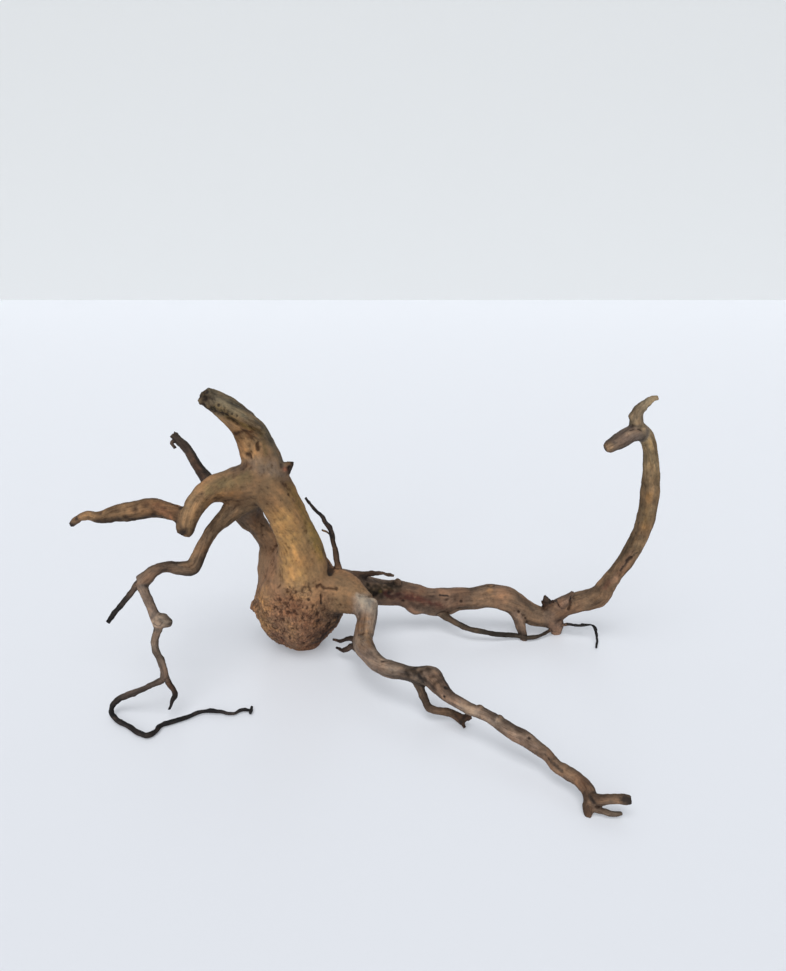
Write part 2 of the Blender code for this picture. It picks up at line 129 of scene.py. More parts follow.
scar(((25, -16, 18), (27, -9, 15)), 6, lift=-2.6)
scar(((34, -16, 32), (33, -17, 27)), 5, lift=1.6)
scar((21, -18, 9), 5, lift=1.4)
scar(((-4, -24, 5), (6, -26, 7), (16, -22, 8), (26, -16, 14)), 7, lift=-1.0, stain=0.8)

# The trunk leans left out of the burl. It is bare, smooth wood, honey-coloured in front where it was last
# peeled, with a faint flecked patch half way up and dark cracks where the root base joins it.
TRUNK_HONEY = (180, 142, 92)
TRUNK_OCHRE = (160, 132, 94)
FORK_OLIVE = (122, 99, 75)
DARK_GRAIN = (58, 42, 34)
grow((
    (3, 0, 40, 12), (2, -4, 54, 24), (1, -6, 72, 26), (2, -6, 92, 23), (-1, -8, 115, 19),
    (-9, -10, 138, 17.3), (-18, -10, 158, 18.5), (-27, -9, 172, 19.5), (-34, -8, 186, 15),
), TRUNK_OCHRE, FORK_OLIVE)
patch(((-4, -28, 90), (-7, -26, 104), (-8, -26, 122), (-12, -27, 140)), 21, TRUNK_HONEY, 0.85)
patch(((0, -18, 168), (8, -16, 146), (16, -15, 122), (22, -14, 102)), 12, (130, 110, 62), 0.75)
scar(((-11, -25, 130), (-5, -27, 130), (1, -25, 128)), 5, lift=-0.4, stain=0.35)
scar((-4, -26, 124), 6, lift=-0.3, stain=0.28)
scar((-16, -15, 107), 3, lift=-2.4, stain=1.0)
scar(((26, 7, 84), (27, 1, 84), (29, -5, 81), (28, -11, 78)), 6, lift=-2.6, stain=1.0)
patch(((22, -9, 102), (24, -3, 93), (27, 0, 86)), 6, (84, 62, 42), 0.8)
scar(((31, -14, 74), (44, -18, 74)), 5, stain=0.35)
scar(((-5, -21, 163), (-3, -22, 161)), 3, lift=-1.6, stain=1.0)
scar(((-1, -19, 160), (3, -18, 154), (6, -17, 146)), 3.5, stain=0.5)
scar(((18, -26, 74), (21, -24, 74.5), (24, -25, 71.5), (35, -25, 71)), 3, lift=-1.6, stain=1.0)
scar(((21, -28, 66), (21, -29, 58)), 2.0, lift=-1.4, stain=1.0)
scar(((8, -31, 78), (12, -30, 86), (12, -27, 98)), 5, stain=0.22)
scar(((-11, -30, 84), (-13, -27, 96), (-13, -24, 108)), 4, stain=0.3)
scar(((-2, -32, 76), (-3, -31, 86)), 3, stain=0.35)
scar(((-20, -24, 174), (-8, -24, 166), (0, -21, 150), (5, -20, 136)), 7, lift=1.0)
scar(((4, 11, 120), (-6, 10, 142), (-14, 10, 160)), 6, lift=-1.2, stain=0.4)

# The horn goes on from the fork and curls left to a broken end. It is a twisted flattened strap of wood,
# grey along its outer band, with a rim in front that overhangs a scooped ochre hollow. Small holes are
# bored along the rim, and a stub broke off beside its foot.
HORN_GREY = (101, 94, 79)
HORN_OCHRE = (166, 130, 92)
grow((
    (-22, -8, 160, 13), (-28, -8, 174, 20), (-29.5, -8, 192, 17.8), (-33.5, -9, 208, 14.6),
    (-38, -11, 220, 12.6), (-44.5, -14, 230, 10.9), (-52, -17, 239, 9.8), (-63, -21, 247.5, 8.8),
    (-72, -23, 254, 7.3), (-75, -24, 257, 6.3),
), FORK_OLIVE, HORN_GREY)
grow((
    (-25.5, -10, 203, 7.5), (-27, -16, 215, 7.5), (-36, -22, 228, 7.5), (-48, -25, 239, 6.5),
    (-60, -26, 246, 6), (-70, -26, 251, 5),
), HORN_GREY)
grow((
    (-36, -8, 184, 10), (-40, -11, 200, 10), (-43, -15, 215, 9.2), (-50, -20, 228, 7.2),
    (-61, -23, 240, 5.8), (-71, -25, 248, 4.5), (-76, -26, 253, 3),
), HORN_OCHRE, HORN_GREY)
grow(((-16, -11, 178, 11), (-10, -14, 184, 7.6), (-7, -15, 187, 5.6), (-4.5, -16, 189, 4.2)), FORK_OLIVE)
patch(((-42, -24, 196), (-40, -24, 208), (-40, -26, 218), (-42, -29, 228)), 19, HORN_OCHRE, 1.0)
patch(((-24, -22, 212), (-26, -24, 200), (-30, -25, 192)), 10, (140, 112, 82), 0.8)
patch(((-66, -29, 255), (-58, -29, 250), (-50, -29, 244), (-41, -29, 238), (-33, -27, 232)), 10,
      (114, 107, 91), 0.9)
patch(((-28, -22, 228), (-21, -19, 216), (-16, -19, 203), (-12, -18, 193)), 8, (96, 90, 76), 0.8)
scar(((-40, -24, 200), (-39, -25, 208), (-40, -26, 215)), 16, lift=-1.8)
scar(((-70, -30, 249), (-60, -32, 246), (-50, -31, 240), (-42, -31, 235), (-34, -29, 231), (-28, -27, 226)),
     5, lift=2.0)
# A painted shadow of the rim's overhang: a brown line laid along a shallow groove under the rim.
scar(((-57, -31, 239), (-50, -29, 234), (-42, -29, 230), (-34, -28, 226), (-27, -25, 221)), 5.5, lift=-0.8,
     colour=(116, 95, 56), cover=0.85)
scar(((-50, -24, 220), (-45, -25, 221), (-39, -27, 223), (-33, -27, 222), (-30, -26, 220)), 3.6, lift=-0.3,
     colour=(84, 58, 42), cover=0.9)
patch(((-26, -25, 219), (-25, -23, 210), (-24, -23, 201)), 3.5, (96, 84, 60), 0.7)
for place in ((-61, -31, 247), (-57, -31, 244), (-53, -31, 242), (-50, -31, 240), (-46, -30, 238),
              (-64, -30, 246), (-54, -31, 239), (-58, -31, 241)):
    scar(place, 3.4, lift=-1.3, stain=0.8)
patch(((-62, -31, 245), (-53, -31, 240), (-46, -30, 236)), 6, (116, 98, 66), 0.7)
scar((-40, -21, 200), 6, lift=-2.2, stain=1.0)
scar(((-31, -23, 210), (-31, -23, 206)), 3.3, lift=-2.6, stain=1.0)
scar((-28, -27, 233), 3.4, lift=-0.8, stain=0.8)
patch(((-76, -25, 256), (-71, -28, 250)), 12, (80, 68, 57), 0.85)
patch(((-71, -30, 247), (-62, -32, 244), (-55, -32, 240)), 5, (84, 76, 58), 0.7)
scar((-77, -26, 259), 6, lift=2.6)
scar((-77, -28, 251), 6, lift=2.4)
scar((-70, -29, 246), 4.5, lift=1.3)
for place in ((-77, -28, 255), (-73, -30, 253), (-79, -26, 253), (-71, -28, 258)):
    scar(place, 4.2, lift=-1.8, stain=1.0)
break_off((-77, -25, 255), 17)
break_off((-67, -31, 246), 8)
break_off((-58, -31, 243), 8)
patch(((-51, -18, 188), (-40, -23, 192), (-28, -26, 191), (-17, -23, 189), (-8, -21, 184)), 13,
      (124, 109, 95), 0.8)
patch(((-52, -17, 187), (-44, -24, 185), (-49, -26, 182)), 8, (84, 70, 60), 0.7)
scar((-4, -19, 188), 4, lift=-2.2, stain=1.0)
patch(((-1, -15, 192), (-2, -18, 188), (-3, -19, 184)), 6.5, (42, 36, 34), 0.95)
scar((-8, -21, 187), 4.5, lift=0.6, colour=(112, 66, 50), cover=0.7)
break_off((1, -16, 190), 8)
grow((
    (-9, -15, 186.5, 5.6), (-5, -15, 188, 4.2), (-2.6, -15, 190, 2.6), (-1, -15, 191.6, 1.2),
), (92, 76, 66), (60, 52, 48), crumb=0.7)
grow(((-9, -16, 185, 5.4), (-5, -16, 185.5, 3.6), (-2, -17, 186, 1.5)), (80, 64, 54), crumb=0.7)
scar(((-14, 2, 190), (-20, 4, 206), (-27, 2, 222)), 9, lift=-2.2, stain=0.2)

# Two arms reach left from under the fork. The upper one drops to a dark knee and turns back up into a long
# mottled tip; the lower one bends twice on its way to a knuckle. Both are bare wood, olive brown on top.
ARM_BROWN = (132, 110, 85)
ARM_OLIVE = (95, 83, 75)
TIP_OCHRE = (117, 91, 69)
grow((
    (-14, -6, 166, 9), (-30, -9, 170, 18), (-46, -11, 170, 19), (-60, -15, 169, 16), (-72, -22, 169, 12.8),
    (-81, -29, 165, 10.5), (-88, -36, 157, 9), (-93, -41, 147, 8.5), (-95, -42, 139, 8),
    (-97, -42, 133, 6.5),
), FORK_OLIVE, ARM_BROWN)
grow((
    (-93, -39, 144, 8), (-102, -37, 150, 8), (-114, -36, 154, 8), (-128, -36, 156, 9), (-141, -38, 154, 9),
    (-155, -38, 152, 7.5), (-172, -36, 147, 5.5), (-186, -33, 147, 4), (-197, -30, 141, 3.2),
    (-203, -28, 136, 2.6),
), TIP_OCHRE, ARM_BROWN)
grow(((-44, -12, 160, 13), (-54, -17, 159, 9), (-60, -20, 158, 5)), FORK_OLIVE)
grow((
    (-30, -4, 164, 10), (-44, -7, 157, 14.5), (-55, -13, 149, 11.3), (-64, -22, 142, 8.2),
    (-74, -36, 134, 6.5), (-79, -46, 126, 5.8), (-83, -56, 118, 6.2), (-87, -64, 111, 6.8),
    (-95, -70, 113, 5.8), (-106, -76, 117, 4.6), (-114, -82, 116, 5), (-121, -86, 111, 5.8),
    (-126, -88, 108, 5.8),
), ARM_BROWN, ARM_OLIVE)
scar(((-94, -50, 139), (-100, -47, 134)), 6, lift=-0.6, stain=0.8)
scar(((-106, -35, 160), (-100, -38, 159), (-97, -40, 158)), 4.5, lift=-1.4, stain=0.95)
patch(((-101, -45, 142), (-97, -49, 138), (-93, -47, 135)), 9, (86, 70, 58), 0.8)
scar(((-84, -41, 165), (-80, -38, 169)), 6, stain=0.6)
for place, reach in (
    ((-128, -43, 161), 5), ((-137, -46, 157), 5), ((-146, -46, 151), 4.5), ((-151, -43, 147), 5),
    ((-118, -42, 161), 4), ((-113, -43, 157), 4.5), ((-162, -41, 145), 5), ((-170, -40, 152), 4),
    ((-182, -38, 147), 4), ((-196, -33, 143), 4), ((-122, -44, 152), 4), ((-141, -46, 163), 3.5),
):
    scar(place, reach, lift=-0.5, colour=(84, 64, 50), cover=0.75)
patch(((-108, -43, 150), (-118, -44, 160)), 6, (168, 122, 92), 0.55)
break_off((-204, -28, 135), 8)
break_off((-141, -42, 146), 6)
patch(((-204, -28, 135), (-196, -31, 141)), 9, (84, 72, 62), 0.85)
scar(((-204, -30, 138), (-201, -31, 136)), 5.5, stain=1.0)
scar((-195, -33, 145), 4, lift=-1.0, stain=0.8)
patch(((-108, -38, 145), (-124, -40, 147), (-140, -43, 146), (-156, -42, 145), (-176, -38, 142)), 7,
      (76, 66, 58), 0.75)
for place in ((-112, -41, 145), (-126, -43, 147), (-136, -45, 145), (-146, -44, 145), (-162, -42, 144)):
    scar(place, 5, lift=1.3)
scar(((-88, -69, 106), (-80, -62, 112)), 6, stain=0.55)
patch(((-86, -68, 107), (-80, -60, 112), (-76, -50, 120)), 7, (82, 74, 62), 0.65)
scar(((-60, -26, 136), (-66, -34, 130)), 4, lift=-0.6, stain=0.35)
patch(((-52, -27, 168), (-66, -31, 166), (-76, -35, 160)), 9, (156, 120, 78), 0.5)
patch(((-40, -24, 182), (-52, -28, 177), (-64, -30, 177), (-74, -35, 172)), 10, (124, 112, 80), 0.55)

# From the knuckle a thin limb drops to the ground. A pale knob like a healed wound sits half way down it,
# and below its foot it is nearly black.
DROP_OLIVE = (124, 115, 107)
KNOB_PALE = (176, 158, 141)
ROOTLET_BLACK = (34, 34, 37)
grow((
    (-125, -88, 109, 4.8), (-123, -90, 104, 4.4), (-117, -95, 94, 4), (-113, -99, 85, 4.4),
    (-110, -101, 78, 4.2), (-110, -102, 71, 3.6), (-113, -105, 60, 3.4), (-109, -110, 51, 3.4),
    (-105, -113, 42, 3.2), (-104, -115, 32, 3.2),
), DROP_OLIVE, (106, 94, 86))
grow((
    (-112, -101, 78, 5), (-106, -102, 79.5, 6.4), (-100, -103, 79, 4.6), (-97, -103, 78.5, 3),
), KNOB_PALE, DROP_OLIVE)
scar(((-109, -106, 86), (-103, -108, 82), (-107, -108, 76), (-112, -106, 79)), 2.2, lift=-1.0, stain=0.6)
# Painted shade darkens the knob's underside and right side, along a faint groove.
scar(((-98, -107, 79), (-101, -108, 73), (-107, -107, 71)), 3.5, lift=-0.4, stain=0.7)
break_off((-94, -104, 78), 6)
scar((-94, -104, 78), 6, stain=0.6)
scar((-112, -103, 72), 4, lift=-0.6, stain=0.7)

# A second stem rises behind the trunk from the burl, and a dark branch with a split end leaves the back of
# the arm. Neither was peeled as clean as the front, so they are the darkest of the thick wood.
STRUT_BROWN = (102, 86, 71)
BACK_GREY = (76, 66, 61)
grow((
    (-14, 4, 44, 12), (-25, 8, 63, 18), (-29.5, 12, 78, 15.5), (-31, 19, 94, 12), (-41, 26, 109.5, 10.2),
    (-49.5, 22, 124.5, 12.6), (-51, 12, 141, 15), (-46, -4, 156, 15),
), BURL_BROWN, STRUT_BROWN, crumb=0.35)
grow((
    (-66, -6, 162, 10), (-78, 2, 162, 8), (-89, 14, 169, 6), (-98, 22, 178, 5.2), (-105, 30, 186, 5),
    (-112, 38, 192, 4.8), (-118, 42, 196, 4.4), (-124, 46, 201, 3.8),
), BACK_GREY, (68, 60, 55))
break_off((-125, 46, 202), 8)
scar((-126, 46, 203), 4, lift=-1.6, stain=0.95)
scar(((-25, 18, 96), (-30, 20, 108), (-36, 16, 118)), 5, stain=0.5)
patch(((-86, 6, 168), (-96, 16, 178), (-104, 26, 187)), 4.5, (112, 86, 70), 0.55)
scar((-30, 18, 84), 4, lift=-1.6, stain=0.9)

# A root base swells out of the burl's right side and ends in a pale grey scar, with a dark mossy hollow
# behind it. The long right root starts there: it knots and dips, then rests on a knee and a foot.
BASE_BROWN = (130, 105, 80)
ROOT_BROWN = (122, 104, 92)
ROOT_OCHRE = (121, 99, 79)
SCAR_GREY = (152, 145, 135)
STREAK_RED = (72, 40, 38)
grow((
    (-4, 2, 56, 16), (10, -1, 58, 24), (24, -5, 59, 23), (36, -9, 60, 20.5), (46, -14, 59, 18),
    (55, -20, 56.5, 14), (63, -25, 54, 11.5),
), BASE_BROWN, crumb=0.25)
grow((
    (22, 4, 60, 11), (36, 12, 56, 16.5), (50, 18, 50, 15.5), (64, 24, 44, 14), (82, 28, 40, 12.5),
    (95, 30, 39, 12), (109, 31, 34, 12.5), (126, 32, 29, 13), (140, 32, 29, 13.5), (154, 30, 33, 11.2),
    (169, 28, 34, 10.4), (185, 27, 37, 12), (200, 26, 35, 12.6), (210, 25, 30, 12), (219, 24, 24, 11.4),
    (230, 23, 18, 11.2), (242, 22, 17, 11.2), (252, 22, 23, 11.2), (262, 21, 30, 10.4), (273, 20, 34, 10.5),
    (285, 19, 38, 10.4), (293, 18, 43, 10.4), (299, 18, 53, 8.8), (305, 17, 64, 7.6),
), ROOT_BROWN, ROOT_OCHRE)
grow(((246, 21, 18, 11), (251, 20, 11, 9.3), (253, 19, 4, 6.8), (253, 19, -2, 5)), ROOT_BROWN)
grow((
    (210, 23, 28, 8.5), (214, 16, 18, 5.8), (216, 10, 10, 4.8), (218, 6, 3, 4), (219, 5, -2, 3.5),
), ROOT_BROWN)
grow(((246, 22, 25, 8), (243, 23, 32, 5.2), (241, 24, 37, 2.8), (240, 24, 40, 1.6)), DARK_GRAIN)
grow(((244, 20, 30, 4), (247, 19, 35, 2.2), (248, 18, 38, 1.1)), DARK_GRAIN, crumb=0.6)
grow(((242, 20, 29, 3.6), (238, 18, 34, 1.9), (236, 18, 37, 1)), DARK_GRAIN, crumb=0.6)
patch(((246, 21, 29), (242, 21, 36)), 8, (58, 52, 48), 0.9)
grow(((256, 17, 34, 6.5), (262, 14, 43, 4), (266, 13, 49, 2.4)), ROOT_BROWN)
grow(((92, 28, 48, 5), (94, 28, 54, 2.2)), ROOT_BROWN)
grow(((106, 28, 30, 8), (110, 27, 25, 7.6), (118, 28, 25, 7)), ROOT_BROWN)
grow(((185, 26, 45, 5), (187, 26, 50, 2.2)), ROOT_OCHRE)
grow((
    (44, 12, 63, 9), (56, 17, 65, 4.6), (67, 22, 64.5, 2.7), (77, 24, 64, 2.1), (84, 24, 63, 1.6),
), (84, 70, 60))
scar(((56, -33, 65), (63, -37, 64), (70, -37, 60), (67, -40, 57), (61, -41, 57)), 9, lift=0.5,
     colour=SCAR_GREY, cover=0.95)
patch(((62, -52, 51), (60, -56, 46), (62, -62, 43), (66, -72, 39)), 12, (140, 112, 86), 0.85)
scar(((55, -28, 69), (63, -31, 67), (72, -33, 62)), 3, lift=0.9, colour=SCAR_GREY, cover=0.5)
patch(((86, 20, 46), (100, 20, 42), (114, 20, 38), (126, 20, 36)), 19, (84, 68, 58), 0.85)
patch(((62, 8, 52), (70, 12, 50), (77, 16, 50), (86, 20, 50)), 17, (50, 42, 32), 1.0)
for place, reach in (((66, 12, 58), 5), ((71, 12, 46), 5), ((76, 15, 54), 4), ((84, 17, 46), 4)):
    scar(place, reach, lift=-1.4, stain=0.6)
for place in ((70, 12, 52), (76, 14, 48), (81, 16, 52), (67, 9, 48)):
    scar(place, 3.5, lift=1.0, colour=(96, 86, 50), cover=0.6)
scar(((47, 10, 66), (58, 14, 64), (66, 17, 60)), 7, stain=0.7)
scar((93, 28, 52), 5, lift=4.0)
patch(((210, 21, 41), (222, 19, 33), (232, 17, 28)), 7, (92, 82, 72), 0.6)
scar(((81, 16, 45), (93, 18, 42), (105, 20, 40), (113, 20, 38), (128, 18, 33), (137, 19, 29)), 6,
     stain=0.35, colour=STREAK_RED, cover=0.75)
scar(((135, 25, 39), (143, 24, 39)), 2, lift=-1.0, stain=0.9)
scar((184, 19, 47), 5, lift=0.8, colour=(172, 132, 92), cover=0.6)
patch(((200, 14, 40), (186, 15, 42), (170, 18, 38)), 8, (160, 126, 98), 0.6)
for place in ((213, 13, 27), (220, 14, 20), (98, 19, 36), (156, 19, 35), (236, 12, 18), (262, 10, 32)):
    scar(place, 2.6, lift=-1.4, stain=0.9)
scar(((263, 12, 44), (264, 11, 37), (262, 10, 31)), 2.4, lift=-1.6, stain=0.95)
scar(((268, 10, 43), (269, 9, 36)), 2.2, lift=1.0)
scar(((255, 16, 10), (250, 13, 6)), 5, stain=0.5)

# Past its elbow the right root climbs as a slim neck with a dark knot across it, and bends over into a blunt
# head. The head was sawn off in front, leaving an oval end face, and a curved crest stands on top of it.
NECK_OCHRE = (138, 123, 96)
HEAD_BROWN = (121, 113, 109)
CREST_OLIVE = (124, 115, 98)
grow((
    (299, 18, 53, 8.8), (305, 17, 64, 7.6), (311, 16, 74, 7.6), (317, 16, 84, 7.9), (326, 16, 105, 8),
    (331, 16, 126, 8.2), (332, 17, 147, 8.2), (332, 18, 166, 7.9), (330, 18, 180, 6.9), (327, 18, 196, 6.4),
    (322, 17, 207, 6.8), (314, 14, 213, 7.8),
), ROOT_OCHRE, NECK_OCHRE)
grow((
    (317, 15, 211, 7.8), (305, 10, 210, 8), (296, 6, 206, 8), (289, 3, 203, 6.8), (284, 1.5, 201, 6),
    (281, 0.5, 199.7, 3.8),
), HEAD_BROWN, (104, 90, 78))
grow((
    (314, 15, 211, 6.5), (311, 14, 224, 6), (312, 13, 232, 5.2), (317, 12, 238, 4.4), (322, 11, 243, 3.4),
    (328, 10, 245, 2.4),
), CREST_OLIVE)
patch(((303, 9, 62), (309, 9, 74), (318, 9, 90)), 7, (146, 116, 96), 0.65)
scar(((314, 9, 84), (317, 9, 87)), 3.6, lift=-1.6, stain=1.0)
scar(((309, 9, 74), (315, 9, 84), (323, 9, 93)), 2.2, lift=-0.7, stain=0.8)
scar(((311, 10, 93), (323, 12, 98)), 3, lift=0.7, stain=0.25)
patch(((298, 11, 61), (294, 10, 54)), 5, (104, 70, 58), 0.6)
scar(((304, 4, 217), (309, 5, 218), (314, 6, 216)), 2.6, lift=-1.3, stain=0.9)
scar((305, 13, 227), 6, lift=2.0)
scar((320, 10, 236), 3.6, lift=-1.4, stain=0.65)
scar((306, 9, 228), 4, stain=0.4)
scar(((318, 6, 209), (320, 8, 201)), 6, stain=0.75)
patch(((308, 4, 203), (316, 6, 204)), 6, (62, 54, 48), 0.85)
# Painted shade darkens the underside of the head.
patch(((292, 1, 199), (302, 5, 203), (312, 8, 204)), 6, (70, 62, 56), 0.7)
patch(((303, 2, 215), (311, 5, 217)), 7, (150, 134, 116), 0.5)
patch(((283, 0, 203), (289, 2, 207)), 10, (86, 76, 70), 0.75)
patch((282.5, -3, 202.5), 6.5, (160, 136, 110), 0.95)
patch(((328, 8, 118), (328, 8, 134), (329, 9, 152)), 6, (150, 120, 80), 0.7)
scar(((322, 10, 200), (328, 10, 190), (329, 10, 178)), 9, stain=0.45)
scar(((340, 14, 168), (341, 14, 148), (339, 13, 128), (334, 12, 106)), 6, stain=0.4)
scar(((333, 10, 172), (331, 11, 184)), 4, stain=0.35)
scar((330, 10, 246), 4, stain=0.45)

# The front root turns down under the grey scar and runs forward, just clear of the ground, to a claw of two
# toes. A hump in its middle is bored with dark pits, and a crooked side root leaves from it.
FRONT_BROWN = (140, 128, 118)
FRONT_DARK = (88, 77, 69)
CLAW_BROWN = (112, 94, 80)
grow((
    (62, -28, 54.5, 11.8), (64, -42, 50.5, 9.4), (62, -54, 43, 8.6), (61, -63, 37, 9), (67, -77, 33, 7.9),
    (75, -88, 30, 7.4), (85, -97, 30, 7.4), (96, -103, 31, 6.5), (106, -109, 32, 7), (121, -116, 33.6, 9.4),
    (125, -123, 32, 8), (132, -132, 28, 6), (141, -140, 26, 5.4), (150, -148, 25, 5), (164, -157, 24, 5.1),
    (173, -165, 22, 5.6), (181, -173, 21, 6), (190, -180, 20, 5.9), (197, -186, 18, 5.4),
    (204, -193, 16, 4.9), (209, -203, 14, 4.7), (218, -212, 13, 4.8), (225, -221, 12, 4.8),
    (228, -229, 11, 5.2), (228, -235, 9, 5.2),
), FRONT_BROWN, CLAW_BROWN)
grow(((157, -152, 25, 5), (158, -150, 30, 1.8)), FRONT_DARK)
grow(((172, -164, 23, 5), (173, -161, 28.5, 1.6)), FRONT_DARK)
grow(((228, -234, 9, 5), (226, -238, 5, 3.8), (226, -240, -1, 3)), CLAW_BROWN)
grow((
    (227, -234, 10, 4.6), (235, -238, 11.8, 3.8), (242, -238, 12.8, 3.6), (248, -239, 13.4, 3.5),
    (255.5, -240, 13.6, 3.2),
), CLAW_BROWN, FRONT_DARK)
grow((
    (227, -236, 6, 3.6), (232, -239, 4.4, 2.6), (238, -241, 3.6, 2.2), (244, -242, 3, 1.9),
    (250, -241, 2.6, 1.5),
), CLAW_BROWN, (116, 106, 96))
grow((
    (108, -108, 29, 5.2), (112, -114, 20, 3.7), (115.5, -121, 14, 3.3), (119, -127, 11, 3.4),
    (127, -128, 9, 3.3), (136, -129, 8, 3.4), (144, -134, 6, 4.2), (147, -137, 4, 4),
), FRONT_DARK, (98, 80, 66))
grow(((144, -134, 6, 3.6), (149, -136, 8, 3), (153, -136, 9, 2.2)), (92, 72, 60))
patch(((104, -110, 37), (112, -115, 38), (121, -121, 36), (128, -128, 33)), 15, (51, 43, 37), 0.92)
scar(((79, -95, 37), (83, -95, 38)), 2.6, lift=-1.8, stain=1.0)
scar(((76, -93, 36), (81, -97, 34), (87, -98, 37)), 4, stain=0.4)
scar(((57, -64, 45), (66, -63, 46)), 2, lift=-0.6, stain=0.3)
patch(((58, -60, 38), (64, -72, 36), (70, -84, 33)), 6, (146, 100, 74), 0.5)
scar((131, -132, 34), 2.6, lift=-1.8, stain=1.0)
scar((130, -137, 29), 2.4, lift=-1.6, stain=1.0)
scar(((110, -117, 37), (111, -120, 33), (113, -121, 28)), 3.5, lift=-1.0, stain=0.85)
scar(((118, -118, 41), (124, -124, 40), (130, -129, 36)), 5, stain=0.45)
scar((192, -184, 24), 2.4, lift=-1.6, stain=1.0)
patch(((143, -146, 29), (160, -159, 28), (180, -177, 25), (194, -188, 22)), 8, (154, 139, 127), 0.75)
scar(((202, -197, 19), (206, -204, 17), (212, -211, 15)), 3, lift=-0.7, stain=0.7)
scar(((226, -236, 15), (229, -240, 11)), 3, lift=-1.2, stain=0.95)
break_off((256, -240, 13), 7)
scar(((250, -241, 15), (256, -242, 14)), 6.5, stain=1.0)
scar((257, -241, 13.4), 3, lift=-1.4)
break_off((149, -137, 6), 9)
scar((149, -139, 4), 10, lift=-0.5, colour=(62, 50, 42), cover=0.8)
scar(((144, -139, 5), (146, -138, 8), (150, -137, 9)), 5.5, stain=0.8)

# Rootlets too thin to have been peeled hang from the limbs and trail on the ground. They keep their bark,
# black at the far ends; the longest makes a loop on the ground to the left and ends in a snapped stub.


def sprout(stations, near, far=None):
    """Keeps a thin rootlet with the colours of its near and far ends."""
    grow(stations, near, far, limbs=rootlets)


sprout((
    (-122, -87, 110, 3.6), (-126, -88, 108, 3.3), (-132, -92, 101, 2.7), (-139, -98, 93, 2.4),
    (-146, -103, 85, 2.2), (-150, -105, 80, 2),
), ARM_OLIVE, ROOTLET_BLACK)
patch(((-137, -96, 95), (-150, -105, 80)), 9, ROOTLET_BLACK, 0.9)
patch(((-97, -119, 18), (-100, -125, 8)), 9, ROOTLET_BLACK, 0.9)
sprout((
    (-104, -114, 35, 2.6), (-101, -115, 27, 2.3), (-96, -118, 20, 2.2), (-98, -121, 14, 1.9),
    (-100, -125, 8, 1.1),
), (78, 64, 54), ROOTLET_BLACK)
sprout((
    (-105, -114, 36, 2.7), (-106, -115, 31, 2.7), (-114, -116, 27, 2.5), (-123, -115, 22, 2.6),
    (-135, -114, 16, 3), (-146, -115, 11, 2.7), (-150, -118, 7, 2.4), (-149, -124, 4.5, 2.3),
    (-142, -132, 3.2, 2.3), (-130, -140, 2.8, 2.2), (-117, -150, 2.6, 2.2), (-110, -152, 2.6, 2.2),
    (-106, -147, 2.6, 2.1), (-104, -139, 2.6, 2.1), (-98, -135, 2.6, 2.2), (-87, -129, 2.4, 1.8),
    (-74, -120, 2.8, 1.7), (-58, -120, 2.8, 1.7), (-47, -122, 2.4, 1.5), (-41, -117, 2.4, 1.5),
    (-33, -117, 2.4, 1.6),
), (84, 76, 72), (60, 56, 55))
patch(((-146, -115, 11), (-150, -118, 7), (-149, -124, 4.5), (-142, -132, 3), (-130, -140, 3),
       (-117, -150, 3), (-106, -147, 3), (-104, -139, 3), (-87, -129, 3), (-74, -120, 3), (-58, -120, 3),
       (-41, -117, 3), (-33, -117, 3)), 10, ROOTLET_BLACK, 1.0)
sprout(((-33, -121, 2.3, 1.4), (-33, -117, 2.5, 1.7), (-33, -113, 2.6, 1.3)), ROOTLET_BLACK)
sprout((
    (60, -58, 34, 5), (54, -50, 31, 3.8), (48, -37, 26, 2.5), (39, -32, 20, 1.9), (31, -26, 18, 1.2),
), FRONT_DARK, (48, 40, 37))
sprout((
    (60, -62, 31, 5), (54, -50, 24, 3.8), (48, -36, 16, 2.9), (41, -32, 10, 2.3), (34, -24, 8, 1.5),
), FRONT_DARK, (56, 45, 40))
sprout((
    (128, 30, 24, 5), (138, 24, 18.5, 4.4), (146, 17, 16, 3.4), (158, 9, 12.5, 2.8), (174, 4, 10, 2.7),
    (194, 4, 6.5, 2.7), (209, 6, 4.5, 2.6), (224, 3, 3.4, 2.3), (240, 10, 4.5, 1.8), (249, 15, 7, 1.6),
    (258, 15, 11, 1.5), (264, 13, 13, 1.4), (271, 12, 12, 1.4), (281, 10, 14, 1.3), (287, 8, 14, 1.3),
    (289, 3, 10, 1.2), (289, -3, 6, 1.2), (286, -13, 1.6, 1.0),
), (88, 77, 66), ROOTLET_BLACK)
patch(((158, 7, 15), (174, 2, 12), (194, 2, 8), (224, 1, 6)), 9, (52, 49, 45), 0.85)
patch(((266, 13, 13), (281, 10, 14), (288, 6, 14), (289, -3, 6), (286, -13, 2)), 7, ROOTLET_BLACK, 0.9)
sprout((
    (38, 2, 66, 6), (36, 2, 76, 4.4), (34, 2, 87, 3.4), (33, 3, 97, 2.9), (31, 4, 107, 2.6),
    (29, 4, 118, 2.4), (25, 3, 126, 2.2), (22, 2, 132, 1.9), (14, 0, 142, 1.5), (7, -2, 153, 1.1),
), (98, 82, 70), ROOTLET_BLACK)
patch(((30, 4, 114), (25, 3, 126), (14, 0, 142), (7, -2, 153)), 8, ROOTLET_BLACK, 0.9)
sprout(((31, 4, 110, 1.7), (27, 2, 116, 1.1), (21, 0, 120, 0.8)), (70, 58, 50))
sprout(((79, 24, 63.5, 1.9), (85, 24, 62, 1.6), (89, 24, 61, 1.1)), (84, 72, 64))
sprout(((-117, 42, 196, 2.6), (-124, 40, 194, 2), (-121, 38, 189, 1.6)), BACK_GREY)
sprout(((145, -135, 6, 3), (146, -139, 3.4, 1.9), (147, -141, 2, 1.4)), (90, 66, 52))

